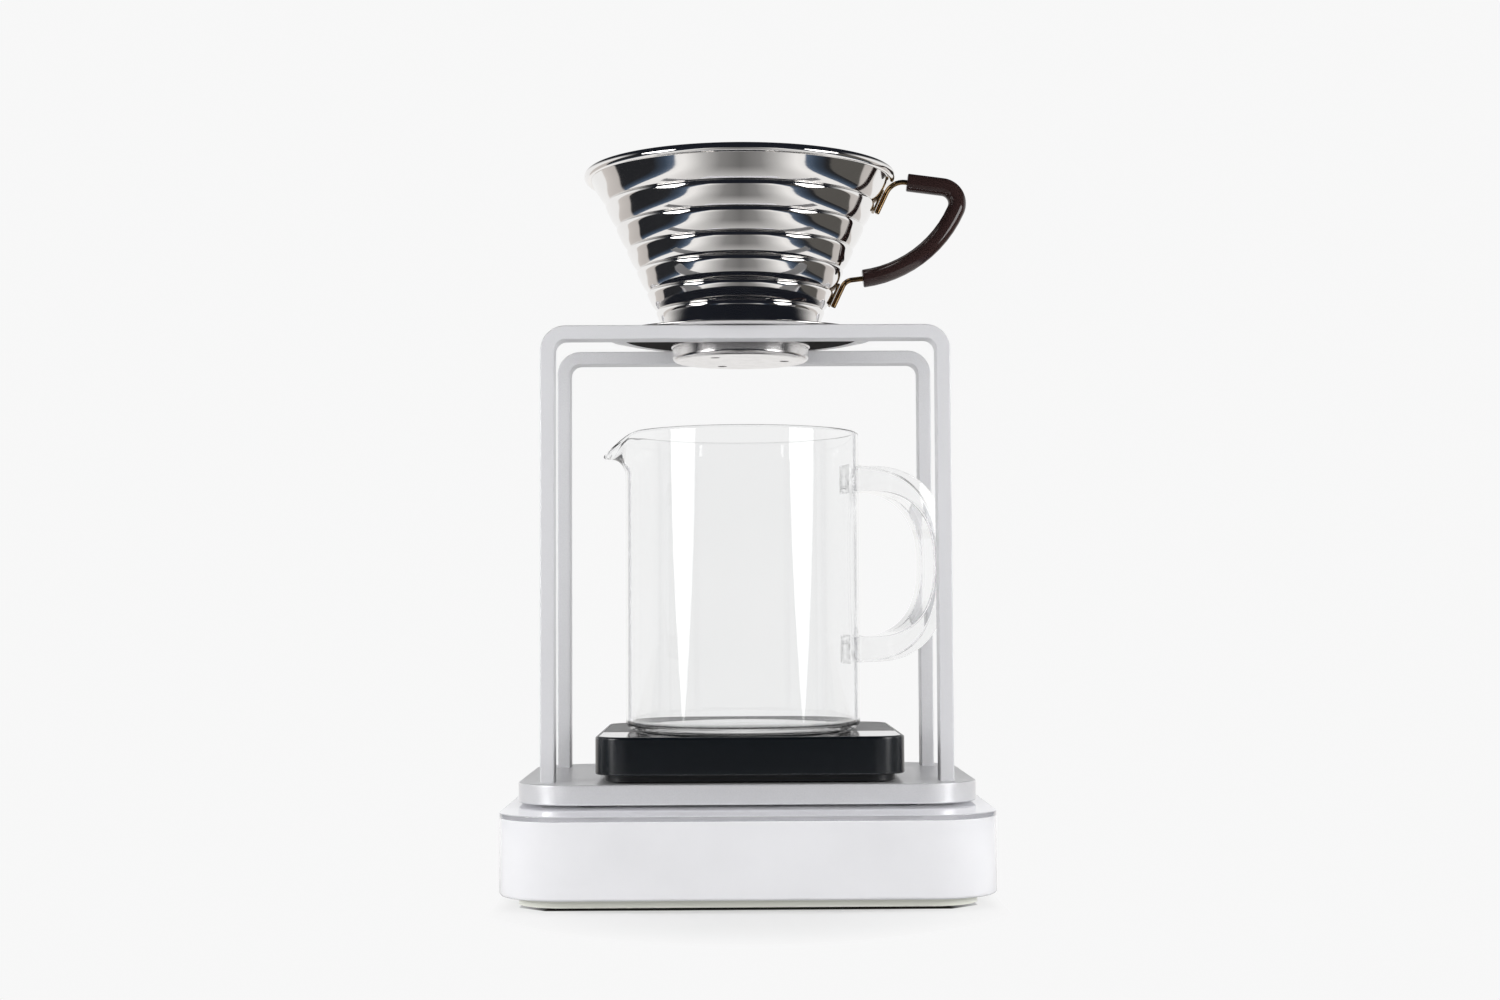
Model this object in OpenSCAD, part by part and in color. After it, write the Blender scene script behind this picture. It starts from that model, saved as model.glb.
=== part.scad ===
// Pour-over coffee station: an aluminium stand on a white weighing scale. In the stand are a small
// black scale and a glass jug, and a ribbed steel dripper rests on its two bar frames.
// Millimetres, +Z up. The origin is on the table under the middle of the white scale. -Y is the front.

/* [Base scale] */
// Width and depth of the white skirt
base_w = 160.6; // [150:0.1:180]
// Corner radius of the skirt and of the clear top
base_corner_r = 21.6; // [12:0.1:30]
// Height of the clear top's upper face above the table
base_h = 30.2; // [28:0.1:40]
// Height of the skirt's lower edge above the table
base_gap = 3.7; // [3:0.1:5]
// Wall of the skirt
base_wall = 2.4; // [1.8:0.1:3]
// Thickness of the white roof under the clear top
base_roof_t = 2.4; // [2.3:0.1:3.5]
// Thickness of the clear top sheet
base_top_t = 1.8; // [1:0.1:3]
// How far the tray is set back from the skirt
base_tray_inset = 6.4; // [4.5:0.1:9]
// Thickness of the tray's floor
base_floor_t = 2.2; // [1.8:0.1:3]
// Height of the tray's wall above its floor
base_tray_wall_h = 9; // [7:0.1:12]
// Thickness of the tray's wall
base_tray_wall_t = 2; // [1.5:0.1:3]
// How far the rubber feet stand out under the tray
base_foot_h = 0.9; // [0.6:0.1:1.5]
// Diameter of a rubber foot
base_foot_d = 16; // [10:0.5:20]
// Length of the load cell
base_cell_l = 75; // [65:1:85]
// Width of the load cell
base_cell_w = 13; // [12:0.5:16]
// Height of the load cell
base_cell_h = 13; // [11:0.1:14]
// Height of the seat that lifts the load cell off the tray's floor
base_cell_lift = 3; // [2.5:0.1:4]
// Width of the circuit board
base_board_w = 50; // [40:1:70]
// Depth of the circuit board
base_board_d = 44; // [36:1:48]
// Width of the battery
base_battery_w = 54; // [40:1:70]
// Depth of the battery
base_battery_d = 34; // [24:1:38]
// Thickness of the battery
base_battery_h = 7; // [4:0.5:9]
// Width of the display module
base_display_w = 62; // [40:1:80]
// Depth of the display module
base_display_d = 20; // [12:1:26]
// Thickness of the display module
base_display_h = 5; // [3:0.5:6]
// Distance from the skirt's front to the middle of the display module
base_display_in = 30; // [24:1:40]

/* [Stand] */
// Width of the plate
plate_w = 153.7; // [148:0.1:156]
// Depth of the plate
plate_d = 107; // [100:0.1:120]
// Thickness of the plate
plate_t = 6.7; // [5:0.1:10]
// Corner radius of the plate
plate_corner_r = 19.4; // [8:0.1:24]
// How far the stand stands back from the middle of the base scale
stand_y = 3.8; // [-8:0.1:8]
// Thickness of the pads under the plate
pad_t = 0.8; // [0.5:0.1:2]
// Diameter of a pad
pad_d = 14; // [8:0.5:20]
// Outer width of a frame
frame_w = 138.1; // [130:0.1:144]
// Height of a frame above the plate
frame_h = 153.2; // [145:0.1:175]
// Distance between the middles of the two frames
frame_spacing = 74.7; // [62:0.1:82]
// Thickness of the bar, seen from the front
bar_t = 4.7; // [4:0.1:6]
// Depth of the bar
bar_d = 9.8; // [7:0.1:12]
// Outer radius of the frame's bends
frame_bend_r = 8.5; // [7:0.1:14]
// Diameter of the screws in the bar ends
frame_screw_d = 2.5; // [2:0.1:3]
// Length of those screws above the plate
frame_screw_grip = 9; // [6:0.5:14]

/* [Brew scale] */
// Width and depth of the black body
brew_w = 103.2; // [98:0.1:112]
// Corner radius of the black body
brew_corner_r = 11.3; // [6:0.1:16]
// Height of its top above the plate
brew_h = 15.4; // [14.8:0.1:20]
// Height of the body's lower edge above the plate
brew_gap = 2.8; // [2.2:0.1:3.5]
// Wall of the body
brew_wall = 1.8; // [1.4:0.1:2.5]
// Thickness of the body's roof under the platform
brew_roof_t = 1.8; // [1.6:0.1:2.4]
// Thickness of the platform and of the glossy strip
brew_skin_t = 0.8; // [0.5:0.1:1]
// Width of the body's rim round the platform
brew_rim = 1.1; // [0.8:0.1:2]
// Depth of the glossy strip along the front of the top
brew_window_d = 34; // [20:0.5:40]
// How far the tray is set back from the body
brew_tray_inset = 3.2; // [2.6:0.1:5]
// Thickness of the tray's floor
brew_floor_t = 1.4; // [1.2:0.1:2]
// Height of the tray's wall above its floor
brew_tray_wall_h = 4.6; // [4.2:0.1:6]
// Thickness of the tray's wall
brew_tray_wall_t = 1.2; // [1:0.1:1.8]
// How far the rubber feet stand out under the tray
brew_foot_h = 0.6; // [0.5:0.1:1]
// Diameter of a rubber foot
brew_foot_d = 10; // [6:0.5:14]
// Length of the load cell
brew_cell_l = 46; // [42:1:54]
// Width of the load cell
brew_cell_w = 9; // [8:0.5:12]
// Height of the load cell
brew_cell_h = 6; // [5.5:0.1:6.5]
// Height of the seat that lifts the load cell off the tray's floor
brew_cell_lift = 2; // [1.6:0.1:2.2]
// Width of the circuit board
brew_board_w = 38; // [30:1:44]
// Depth of the circuit board
brew_board_d = 32; // [26:1:34]
// Width of the battery
brew_battery_w = 36; // [24:1:44]
// Depth of the battery
brew_battery_d = 24; // [16:1:28]
// Thickness of the battery
brew_battery_h = 4; // [3:0.5:5]
// Width of the display module
brew_display_w = 34; // [24:1:44]
// Depth of the display module
brew_display_d = 12; // [8:1:16]
// Thickness of the display module
brew_display_h = 3.4; // [3:0.1:4]
// How far the brew scale stands to the right of the stand's middle
brew_x = 0.9; // [-4:0.1:4]
// How far it stands back from the stand's middle
brew_y = 0.1; // [-4:0.1:4]

/* [Jug] */
// Outer radius of the jug
jug_r = 41.2; // [36:0.1:44]
// Height of the jug
jug_h = 104.2; // [90:0.1:116]
// Thickness of the glass wall
jug_wall = 1.9; // [1.4:0.1:2.6]
// Thickness of the glass floor
jug_floor_t = 3.4; // [2:0.1:6]
// Radius of the jug's lower edge
jug_edge_r = 4.5; // [3:0.1:8]
// How far the spout's lip stands out of the wall
lip_out = 7.9; // [5:0.1:9]
// How far the lip's tip hangs below the rim
lip_drop = 7.6; // [5:0.1:9]
// Height of the spout from its foot to the rim
spout_h = 14; // [12:0.5:18]
// How far the handle stands out of the wall
handle_out = 33.8; // [28:0.1:36]
// Thickness of the handle at its outside
handle_side_t = 5.6; // [4:0.1:8]
// Thickness of the handle at its two ends
handle_end_t = 9; // [6:0.1:12]
// Height of the handle from end to end
handle_h = 70; // [60:0.5:80]
// Height of the handle's middle above the jug's foot
handle_mid_z = 58.2; // [46:0.1:62]
// Width of the strap
handle_strap_w = 18; // [12:0.5:20]
// Radius of the handle's outer corners
handle_corner_r = 29; // [22:0.5:30]
// How far the handle points back from the right, in degrees
handle_back = 17; // [12:1:20]
// How far the jug stands to the right of the stand's middle
jug_x = -1.1; // [-4:0.1:4]
// How far it stands back from the stand's middle
jug_y = -0.7; // [-4:0.1:4]

/* [Dripper] */
// Outer radius of the cone at its foot
cone_foot_r = 25; // [24:0.1:28]
// How much the cone's radius grows with each millimetre of height
cone_taper = 0.4716; // [0.4:0.001:0.52]
// Height of the cone from the flange to the rim
cone_h = 56.6; // [52:0.1:64]
// Sheet thickness of the cone
cone_wall = 0.8; // [0.5:0.1:1.2]
// How far each tier swells out past the grooves
tier_swell = 1.1; // [0.5:0.1:1.6]
// How far the top tier flares out past the taper
rim_flare = 0.8; // [0:0.1:2]
// Radius of the rolled rim's bead
rim_bead_r = 1.6; // [1:0.1:2.2]
// Radius of the flange
flange_r = 47.3; // [44:0.1:54]
// Thickness of the flange
flange_t = 0.9; // [0.7:0.1:1.5]
// Outer radius of the collar under the flange
collar_r = 24.1; // [23:0.1:25]
// How far the collar reaches below the flange
collar_drop = 8.1; // [7:0.1:12]
// Height of the narrower neck between the flange and the collar's lip
collar_neck_h = 2.4; // [1.5:0.1:3]
// How far the neck is set in from the collar
collar_neck_inset = 1.6; // [1.2:0.1:2.5]
// How far the lip stands out of the collar
collar_lip = 0.5; // [0.3:0.1:1]
// Height of the lip
collar_lip_h = 0.9; // [0.6:0.1:1.4]
// Sheet thickness of the collar
collar_wall = 0.8; // [0.6:0.1:1]
// Radius of the circle of drip holes
drip_circle_r = 15.5; // [8:0.1:18]
// Diameter of a drip hole
drip_hole_d = 3.2; // [2:0.1:4]
// How far the dripper stands to the right of the stand's middle
dripper_x = -1.4; // [-4:0.1:4]
// How far it stands back from the stand's middle
dripper_y = -2.3; // [-4:0.1:4]

/* [Dripper handle] */
// Diameter of the bronze wire
wire_d = 1.8; // [1.4:0.1:2.2]
// Diameter of the brown grip
grip_d = 6.4; // [5:0.1:8]
// Bend radius of the wire's middle, where it leaves the upper strap and clears the rim
upper_bend_r = 6.6; // [6.2:0.1:7.4]
// Bend radius of the wire's middle, where it comes in to the lower strap
lower_bend_r = 4; // [3:0.1:5]
// Bend radius of the grip's outer corner, at its middle
grip_corner_r = 5.9; // [5:0.1:9]
// How far the grip's upper part slopes down, in degrees
grip_slope = 7.5; // [5:0.1:9]
// How far the wire turns at the grip's corner, in degrees
grip_corner_turn = 107; // [102:1:112]
// How far the wire turns along the grip's long curve, in degrees
grip_curve_turn = 58.5; // [52:0.5:64]
// Bare wire between the upper bend and the grip
upper_bare = 0.5; // [0.4:0.1:2]
// Bare wire between the grip and the lower bend
lower_bare = 4; // [2:0.1:5]
// Length of wire along a strap
strap_l = 8.3; // [7:0.1:10]
// Width of a strap
strap_w = 8; // [5:0.1:10]
// Thickness of a strap
strap_t = 0.7; // [0.5:0.1:1]
// Height of the upper strap's lower end below the rim
upper_strap_drop = 11.6; // [11.4:0.1:13]
// Height of the lower strap's lower end above the flange
lower_strap_z = 11.5; // [10:0.1:14]

/* [Hidden] */
$fn = 64;
// Small overshoot that makes a cut pass clean through a face
cut = 1;
// Gap round a piece that drops into a pocket
pocket_clear = 0.15;
// Radial gap between a screw and its hole
thread_clear = 0.05;
// Gap between the wire and the bore of the grip
grip_clear = 0.05;
// Gap between the cone's widest tiers and a strap, and between a strap and the wire
weld_gap = 0.05;

// Heads of the screws in the bar ends
frame_screw_head_d = 2 * frame_screw_d;
frame_screw_head_h = frame_screw_d;
// Screws of the load cells
base_screw_d = 4;
base_screw_head_d = 7;
base_screw_hole_d = base_screw_head_d + 2 * pocket_clear;
base_screw_head_h = 2;
base_screw_pitch = 10;
base_screw_end = 6;
brew_screw_d = 2.5;
brew_screw_head_d = 4.4;
brew_screw_hole_d = brew_screw_head_d + 2 * pocket_clear;
brew_screw_head_h = 1.3;
brew_screw_pitch = 6;
brew_screw_end = 4;
// Share of the load cell's height that its two round cut-outs take
cell_hole_share = 0.6;
// Distance between those cut-outs, as a share of their diameter
cell_hole_apart = 1.5;
// Share of the load cell's height that the slot between them takes
cell_slot_share = 0.2;
// Depth of the pockets that the rubber feet sit in
foot_pocket = 0.8;
// Boards, their posts and the charging sockets on them
board_t = 1.6;
base_board_lift = 3;
brew_board_lift = 2;
post_d = 4;
socket_w = 9;
socket_d = 7.4;
socket_h = 3.2;
socket_r = 1.5;
socket_wall = 0.4;
socket_hole_w = socket_w + 2 * pocket_clear;
socket_hole_h = socket_h + 2 * pocket_clear;
plug_clear = 1.6;
// Distance from the load cell's side to the battery and to the board
cell_side_gap = 6;

// Heights of the stacked pieces above the table
base_floor_z = base_foot_h + base_floor_t;
base_roof_z = base_h - base_top_t;
base_ceiling_z = base_roof_z - base_roof_t;
base_tray_w = base_w - 2 * base_tray_inset;
base_tray_r = base_corner_r - base_tray_inset;
base_foot_pitch = base_tray_w - 2 * base_tray_r;
base_cell_z = base_floor_z + base_cell_lift;
base_board_y = base_tray_w / 2 - base_tray_wall_t - pocket_clear - base_board_d / 2;
base_board_z = base_floor_z + base_board_lift;
base_socket_z = base_board_z + board_t;
plate_z = base_h + pad_t;
plate_top = plate_z + plate_t;
beam_top = plate_top + frame_h;
brew_top = plate_top + brew_h;
brew_floor_z = brew_foot_h + brew_floor_t;
brew_roof_z = brew_h - brew_skin_t;
brew_ceiling_z = brew_roof_z - brew_roof_t;
brew_tray_w = brew_w - 2 * brew_tray_inset;
brew_tray_r = brew_corner_r - brew_tray_inset;
brew_pocket_w = brew_w - 2 * brew_rim;
brew_pocket_r = brew_corner_r - brew_rim;
brew_foot_pitch = brew_tray_w - 2 * brew_tray_r - brew_foot_d / 2;
brew_cell_z = brew_floor_z + brew_cell_lift;
brew_board_y = brew_tray_w / 2 - brew_tray_wall_t - pocket_clear - brew_board_d / 2;
brew_board_z = brew_floor_z + brew_board_lift;
brew_socket_z = brew_board_z + board_t;
brew_display_y = (brew_window_d - brew_pocket_w) / 2;
brew_pos = [brew_x, stand_y + brew_y, plate_top];
jug_pos = [jug_x, stand_y + jug_y, brew_top];
flange_z = beam_top;
dripper_pos = [dripper_x, stand_y + dripper_y, flange_z + flange_t];
post_x = (frame_w - bar_t) / 2;

// The spout is part of a cone: its radius at the foot, its growth out to the lip and its cut-off slope
spout_foot_r = 0.7;
spout_out = spout_h * lip_out / (spout_h - lip_drop);
spout_r = spout_foot_r + spout_out;
spout_drop = atan(lip_drop / (lip_out + jug_wall));

// Size of the slant round the collar's lower edge
collar_edge = 1.2;
// The drip holes in the collar's floor: their number, and the first one's angle from the right
drip_holes = 3;
drip_turn = -5;
// Heights of the grooves between the cone's tiers above the flange, as shares of the cone's height
groove_share = [0, 0.161, 0.277, 0.415, 0.546, 0.687, 0.833];
groove_z = [for (s = groove_share) s * cone_h];
// Shape of one tier: share of its height, and share of the swell
tier_shape = [[0.08, 0.55], [0.22, 0.9], [0.6, 1], [0.78, 0.92], [0.92, 0.5]];
// The top tier leaves room for the rolled rim
top_groove = groove_z[len(groove_z) - 1];
rim_r = cone_r(cone_h) + rim_flare;
bead_r = rim_r + rim_bead_r - cone_wall / 2;

// Path of the handle's wire in the plane through the dripper's axis. Angles are headings from +X.
up_slope = 90 - atan(cone_taper);
grip_heading = -grip_slope;
corner_heading = grip_heading - grip_corner_turn;
curve_heading = corner_heading - grip_curve_turn;
down_slope = up_slope - 180;
// Distance of the wire's middle from the cone's grooves, square to the slope
wire_off = tier_swell * sin(up_slope) + strap_t + wire_d / 2 + 2 * weld_gap;
upper_end_z = cone_h - upper_strap_drop;
wire_run = (upper_end_z - lower_strap_z) / sin(up_slope);
// The known steps of the path leave two lengths to solve: the grip's straight and the curve's radius
known_path = strap_l * heading(up_slope) + bend(upper_bend_r, up_slope, grip_heading)
    + upper_bare * heading(grip_heading) + bend(grip_corner_r, grip_heading, corner_heading)
    + lower_bare * heading(curve_heading) + bend(lower_bend_r, curve_heading, down_slope)
    + strap_l * heading(down_slope);
left_path = -wire_run * heading(up_slope) - known_path;
unit_curve = bend(1, corner_heading, curve_heading);
grip_straight = cross2(left_path, unit_curve) / cross2(heading(grip_heading), unit_curve);
grip_curve_r = cross2(heading(grip_heading), left_path) / cross2(heading(grip_heading), unit_curve);
wire_start = [cone_r(upper_end_z), upper_end_z] + wire_off * heading(up_slope - 90);
upper_bend = wire_start + strap_l * heading(up_slope);
upper_bend_end = upper_bend + bend(upper_bend_r, up_slope, grip_heading);
grip_start = upper_bend_end + upper_bare * heading(grip_heading);
corner_start = grip_start + grip_straight * heading(grip_heading);
curve_start = corner_start + bend(grip_corner_r, grip_heading, corner_heading);
grip_end = curve_start + bend(grip_curve_r, corner_heading, curve_heading);
lower_bend = grip_end + lower_bare * heading(curve_heading);
lower_start = lower_bend + bend(lower_bend_r, curve_heading, down_slope);
lower_end = lower_start + strap_l * heading(down_slope);
// Sides of the wire and the grip, and degrees of bend from ring to ring
tube_sides = 12;
ring_turn = 11;
grip_path = concat(
    [[grip_start, grip_heading], [corner_start, grip_heading]],
    bend_path(corner_start, grip_corner_r, grip_heading, corner_heading),
    bend_path(curve_start, grip_curve_r, corner_heading, curve_heading));
wire_path = concat(
    [[wire_start, up_slope], [upper_bend, up_slope]],
    bend_path(upper_bend, upper_bend_r, up_slope, grip_heading),
    grip_path,
    [[lower_bend, curve_heading]],
    bend_path(lower_bend, lower_bend_r, curve_heading, down_slope),
    [[lower_end, down_slope]]);

// Radius of the cone's grooves at a height above the flange
function cone_r(z) = cone_foot_r + cone_taper * z;

// How far the top tier stands out past the taper at a height above the flange
function rim_flare_at(z) = rim_flare * (z - top_groove) / (cone_h - top_groove);

// Unit step along a heading
function heading(a) = [cos(a), sin(a)];

// Step made by a round bend of radius r from one heading to another
function bend(r, a, b) = r * sign(b - a) * [sin(b) - sin(a), cos(a) - cos(b)];

// Points and headings along a round bend, after its start
function bend_path(p, r, a, b) = let (n = ceil(abs(b - a) / ring_turn))
    [for (i = [1 : n]) let (h = a + (b - a) * i / n) [p + bend(r, a, h), h]];

// Cross product of two plane vectors
function cross2(p, q) = p[0] * q[1] - p[1] * q[0];

// Outline of the cone from its foot to its rim, moved in by a wall
function cone_outline(inset) = [
    for (i = [0 : len(groove_z) - 1])
        for (s = concat([[0, 0]], tier_shape))
            let (
                z0 = groove_z[i],
                z1 = i + 1 < len(groove_z) ? groove_z[i + 1] : cone_h,
                z = z0 + s[0] * (z1 - z0),
                flare = z > top_groove ? rim_flare_at(z) : 0
            )
            [cone_r(z) + flare + s[1] * tier_swell - inset, z],
    [rim_r - inset, cone_h]
];

// Flat square with round corners, centred
module rounded_rect(w, d, r) {
    square([w - 2 * r, d], center = true);
    square([w, d - 2 * r], center = true);
    for (x = [-1, 1], y = [-1, 1])
        translate([x * (w / 2 - r), y * (d / 2 - r)]) circle(r);
}

// Slab with round corners, from z up
module slab(w, d, r, z, h) {
    translate([0, 0, z]) linear_extrude(h) rounded_rect(w, d, r);
}

// Copies at the four corners of a rectangle
module corners(w, d) {
    for (x = [-1, 1], y = [-1, 1])
        translate([x * w / 2, y * d / 2, 0]) children();
}

// Copies at the two screws of one end of a load cell. side is -1 for the fixed end, 1 for the loaded end.
module cell_screw_places(l, end, pitch, side) {
    for (i = [0, 1])
        translate([side * (l / 2 - end - i * pitch), 0, 0]) children();
}

// Pan-head screw, head below z = 0, shank above
module screw(d, head_d, head_h, l) {
    translate([0, 0, -head_h]) cylinder(d = head_d, h = head_h);
    cylinder(d = d, h = l);
}

// Bending beam with two round cut-outs joined by a slot, and two screw holes at each end
module load_cell(l, w, h, end, pitch, screw_d) {
    hole_d = cell_hole_share * h;
    hole_x = cell_hole_apart * hole_d / 2;
    slot_h = cell_slot_share * h;
    difference() {
        translate([-l / 2, -w / 2, 0]) cube([l, w, h]);
        for (x = [-hole_x, hole_x])
            translate([x, w / 2 + cut, h / 2]) rotate([90, 0, 0])
                cylinder(d = hole_d, h = w + 2 * cut);
        translate([-hole_x, -w / 2 - cut, (h - slot_h) / 2]) cube([2 * hole_x, w + 2 * cut, slot_h]);
        for (side = [-1, 1])
            cell_screw_places(l, end, pitch, side)
                translate([0, 0, -cut]) cylinder(d = screw_d + 2 * thread_clear, h = h + 2 * cut);
    }
}

// Seat under or over one end of a load cell
module cell_seat(l, w, end, pitch, side, h) {
    seat_l = 2 * end + pitch;
    translate([side * (l / 2 - seat_l / 2) - seat_l / 2, -w / 2, 0]) cube([seat_l, w, h]);
}

// Tray with a floor and a wall
module tray(w, r, foot_h, floor_t, wall_h, wall_t) {
    difference() {
        slab(w, w, r, foot_h, floor_t + wall_h);
        slab(w - 2 * wall_t, w - 2 * wall_t, r - wall_t, foot_h + floor_t, wall_h + cut);
    }
}

// Charging socket: a metal sleeve with round ends, mouth towards +Y at y = 0
module charge_socket() {
    translate([0, 0, socket_h / 2]) rotate([90, 0, 0]) difference() {
        linear_extrude(socket_d) rounded_rect(socket_w, socket_h, socket_r);
        translate([0, 0, -cut]) linear_extrude(socket_d - socket_wall + cut)
            rounded_rect(socket_w - 2 * socket_wall, socket_h - 2 * socket_wall, socket_r - socket_wall);
    }
}

// Arch outline that stands on y = 0
module arch(w, h, r) {
    translate([-w / 2, 0]) square([w, h - r]);
    translate([r - w / 2, 0]) square([w - 2 * r, h]);
    for (x = [-1, 1])
        translate([x * (w / 2 - r), h - r]) circle(r);
}

// One bent bar frame with a screw hole in each foot
module bar_frame(y) {
    color("gainsboro") translate([0, y, plate_top]) difference() {
        translate([0, bar_d / 2, 0]) rotate([90, 0, 0]) linear_extrude(bar_d) difference() {
            arch(frame_w, frame_h, frame_bend_r);
            translate([0, -cut]) arch(frame_w - 2 * bar_t, frame_h - bar_t + cut, frame_bend_r - bar_t);
        }
        for (x = [-1, 1])
            translate([x * post_x, 0, -cut])
                cylinder(d = frame_screw_d + 2 * thread_clear, h = frame_screw_grip + 2 * cut);
    }
}

// Copies at the four feet of the frames
module frame_feet() {
    for (x = [-1, 1], y = [-1, 1])
        translate([x * post_x, stand_y + y * frame_spacing / 2, 0]) children();
}

// Profile of a round glass with a rounded lower edge
module glass_profile(r, h, edge) {
    square([r - edge, h]);
    translate([0, edge]) square([r, h - edge]);
    translate([r - edge, edge]) circle(edge);
}

// Cone of the spout, narrowest at its foot
module spout_cone(inset) {
    foot = max(spout_foot_r - inset, 0);
    translate([spout_foot_r - jug_r, 0, jug_h - spout_h])
        cylinder(r1 = foot, r2 = spout_r - inset, h = spout_h);
}

// Side view of the jug's handle: a loop from the axis, with two round corners
module handle_loop(reach, h, r) {
    translate([0, -h / 2]) square([reach - r, h]);
    translate([0, r - h / 2]) square([reach, h - 2 * r]);
    for (y = [-1, 1])
        translate([reach - r, y * (h / 2 - r)]) circle(r);
}

// Round tube along a path of [point, heading] pairs in the plane through the dripper's axis.
// The bore runs through it from end to end, and no bore makes it solid.
module tube(path, d, bore = 0) {
    rings = len(path);
    bores = bore > 0 ? [d, bore] : [d];
    points = [
        for (size = bores)
            for (step = path)
                for (k = [0 : tube_sides - 1])
                    let (
                        t = 360 * k / tube_sides,
                        p = step[0] + size / 2 * cos(t) * heading(step[1] + 90)
                    )
                    [p[0], size / 2 * sin(t), p[1]]
    ];
    inner = rings * tube_sides;
    last = (rings - 1) * tube_sides;
    walls = [
        for (i = [0 : rings - 2])
            for (k = [0 : tube_sides - 1])
                let (
                    n = (k + 1) % tube_sides,
                    a = i * tube_sides + k,
                    b = i * tube_sides + n,
                    c = a + tube_sides,
                    e = b + tube_sides
                )
                each [[a, c, b], [b, c, e]]
    ];
    bore_walls = [for (f = walls) [f[0] + inner, f[2] + inner, f[1] + inner]];
    end_rings = [
        for (k = [0 : tube_sides - 1])
            let (n = (k + 1) % tube_sides)
            each [
                [k, n, k + inner], [n, n + inner, k + inner],
                [last + n, last + k, last + k + inner], [last + n, last + k + inner, last + n + inner]
            ]
    ];
    end_discs = [
        for (k = [1 : tube_sides - 2])
            each [[0, k, k + 1], [last, last + k + 1, last + k]]
    ];
    polyhedron(points, bore > 0 ? concat(walls, bore_walls, end_rings) : concat(walls, end_discs));
}

// Flat strap along the cone's slope, whose lower end is level with the wire's end at height z.
// Its back is dressed down where the rim flares out.
module strap(z) {
    foot = [cone_r(z), z] + (tier_swell * sin(up_slope) + weld_gap) * heading(up_slope - 90);
    top_z = foot[1] + strap_l * sin(up_slope);
    flare_start = (top_groove - foot[1]) / sin(up_slope);
    dressed = top_z > top_groove ? rim_flare_at(top_z) * sin(up_slope) : 0;
    along = heading(up_slope);
    out = heading(up_slope - 90);
    translate([0, strap_w / 2, 0]) rotate([90, 0, 0]) linear_extrude(strap_w) polygon([
        foot,
        each flare_start > 0 && flare_start < strap_l ? [foot + flare_start * along] : [],
        foot + strap_l * along + dressed * out,
        foot + strap_l * along + strap_t * out,
        foot + strap_t * out]);
}

module base_tray() {
    color("lightgray") difference() {
        union() {
            tray(base_tray_w, base_tray_r, base_foot_h, base_floor_t, base_tray_wall_h, base_tray_wall_t);
            translate([0, 0, base_foot_h]) cell_seat(
                base_cell_l, base_cell_w, base_screw_end, base_screw_pitch, -1, base_cell_z - base_foot_h);
            translate([0, base_board_y, base_foot_h]) corners(base_board_w - post_d, base_board_d - post_d)
                cylinder(d = post_d, h = base_floor_t + base_board_lift);
        }
        translate([0, 0, base_foot_h - cut]) corners(base_foot_pitch, base_foot_pitch)
            cylinder(d = base_foot_d + 2 * pocket_clear, h = foot_pocket + cut);
        cell_screw_places(base_cell_l, base_screw_end, base_screw_pitch, -1) {
            translate([0, 0, base_foot_h - cut])
                cylinder(d = base_screw_d + 2 * thread_clear, h = base_cell_z - base_foot_h + 2 * cut);
            translate([0, 0, base_foot_h - cut])
                cylinder(d = base_screw_hole_d, h = base_screw_head_h + pocket_clear + cut);
        }
        translate([0, base_tray_w / 2 - base_tray_wall_t / 2, base_socket_z + socket_h / 2])
            cube([socket_hole_w, base_tray_wall_t + cut, socket_hole_h], center = true);
    }
}

module base_feet() {
    color("dimgray") corners(base_foot_pitch, base_foot_pitch)
        cylinder(d = base_foot_d, h = base_foot_h + foot_pocket);
}

module base_shell() {
    inner_w = base_w - 2 * base_wall;
    cell_top = base_cell_z + base_cell_h;
    color("white") difference() {
        union() {
            difference() {
                slab(base_w, base_w, base_corner_r, base_gap, base_roof_z - base_gap);
                slab(inner_w, inner_w, base_corner_r - base_wall,
                    base_gap - cut, base_ceiling_z - base_gap + cut);
            }
            translate([0, 0, cell_top]) cell_seat(
                base_cell_l, base_cell_w, base_screw_end, base_screw_pitch, 1, base_roof_z - cell_top);
        }
        cell_screw_places(base_cell_l, base_screw_end, base_screw_pitch, 1) {
            translate([0, 0, cell_top - cut])
                cylinder(d = base_screw_d + 2 * thread_clear, h = base_roof_z - cell_top + 2 * cut);
            translate([0, 0, base_roof_z - base_screw_head_h - pocket_clear])
                cylinder(d = base_screw_hole_d, h = base_screw_head_h + pocket_clear + cut);
        }
        translate([0, base_w / 2 - base_wall / 2, base_socket_z + socket_h / 2]) cube(
            [socket_w + 2 * plug_clear, base_wall + 2 * cut, socket_h + 2 * plug_clear], center = true);
    }
}

module base_top() {
    color("aliceblue", 0.5) slab(base_w, base_w, base_corner_r, base_roof_z, base_top_t);
}

module base_load_cell() {
    color("silver") translate([0, 0, base_cell_z])
        load_cell(base_cell_l, base_cell_w, base_cell_h, base_screw_end, base_screw_pitch, base_screw_d);
}

module base_circuit_board() {
    color("green") translate([-base_board_w / 2, base_board_y - base_board_d / 2, base_board_z])
        cube([base_board_w, base_board_d, board_t]);
}

module base_battery() {
    y = -base_cell_w / 2 - cell_side_gap - base_battery_d;
    color("silver") translate([-base_battery_w / 2, y, base_floor_z])
        cube([base_battery_w, base_battery_d, base_battery_h]);
}

module base_display() {
    y = base_display_in - base_w / 2 - base_display_d / 2;
    color("black") translate([-base_display_w / 2, y, base_ceiling_z - base_display_h])
        cube([base_display_w, base_display_d, base_display_h]);
}

module base_charge_socket() {
    color("silver") translate([0, base_tray_w / 2, base_socket_z]) charge_socket();
}

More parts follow.
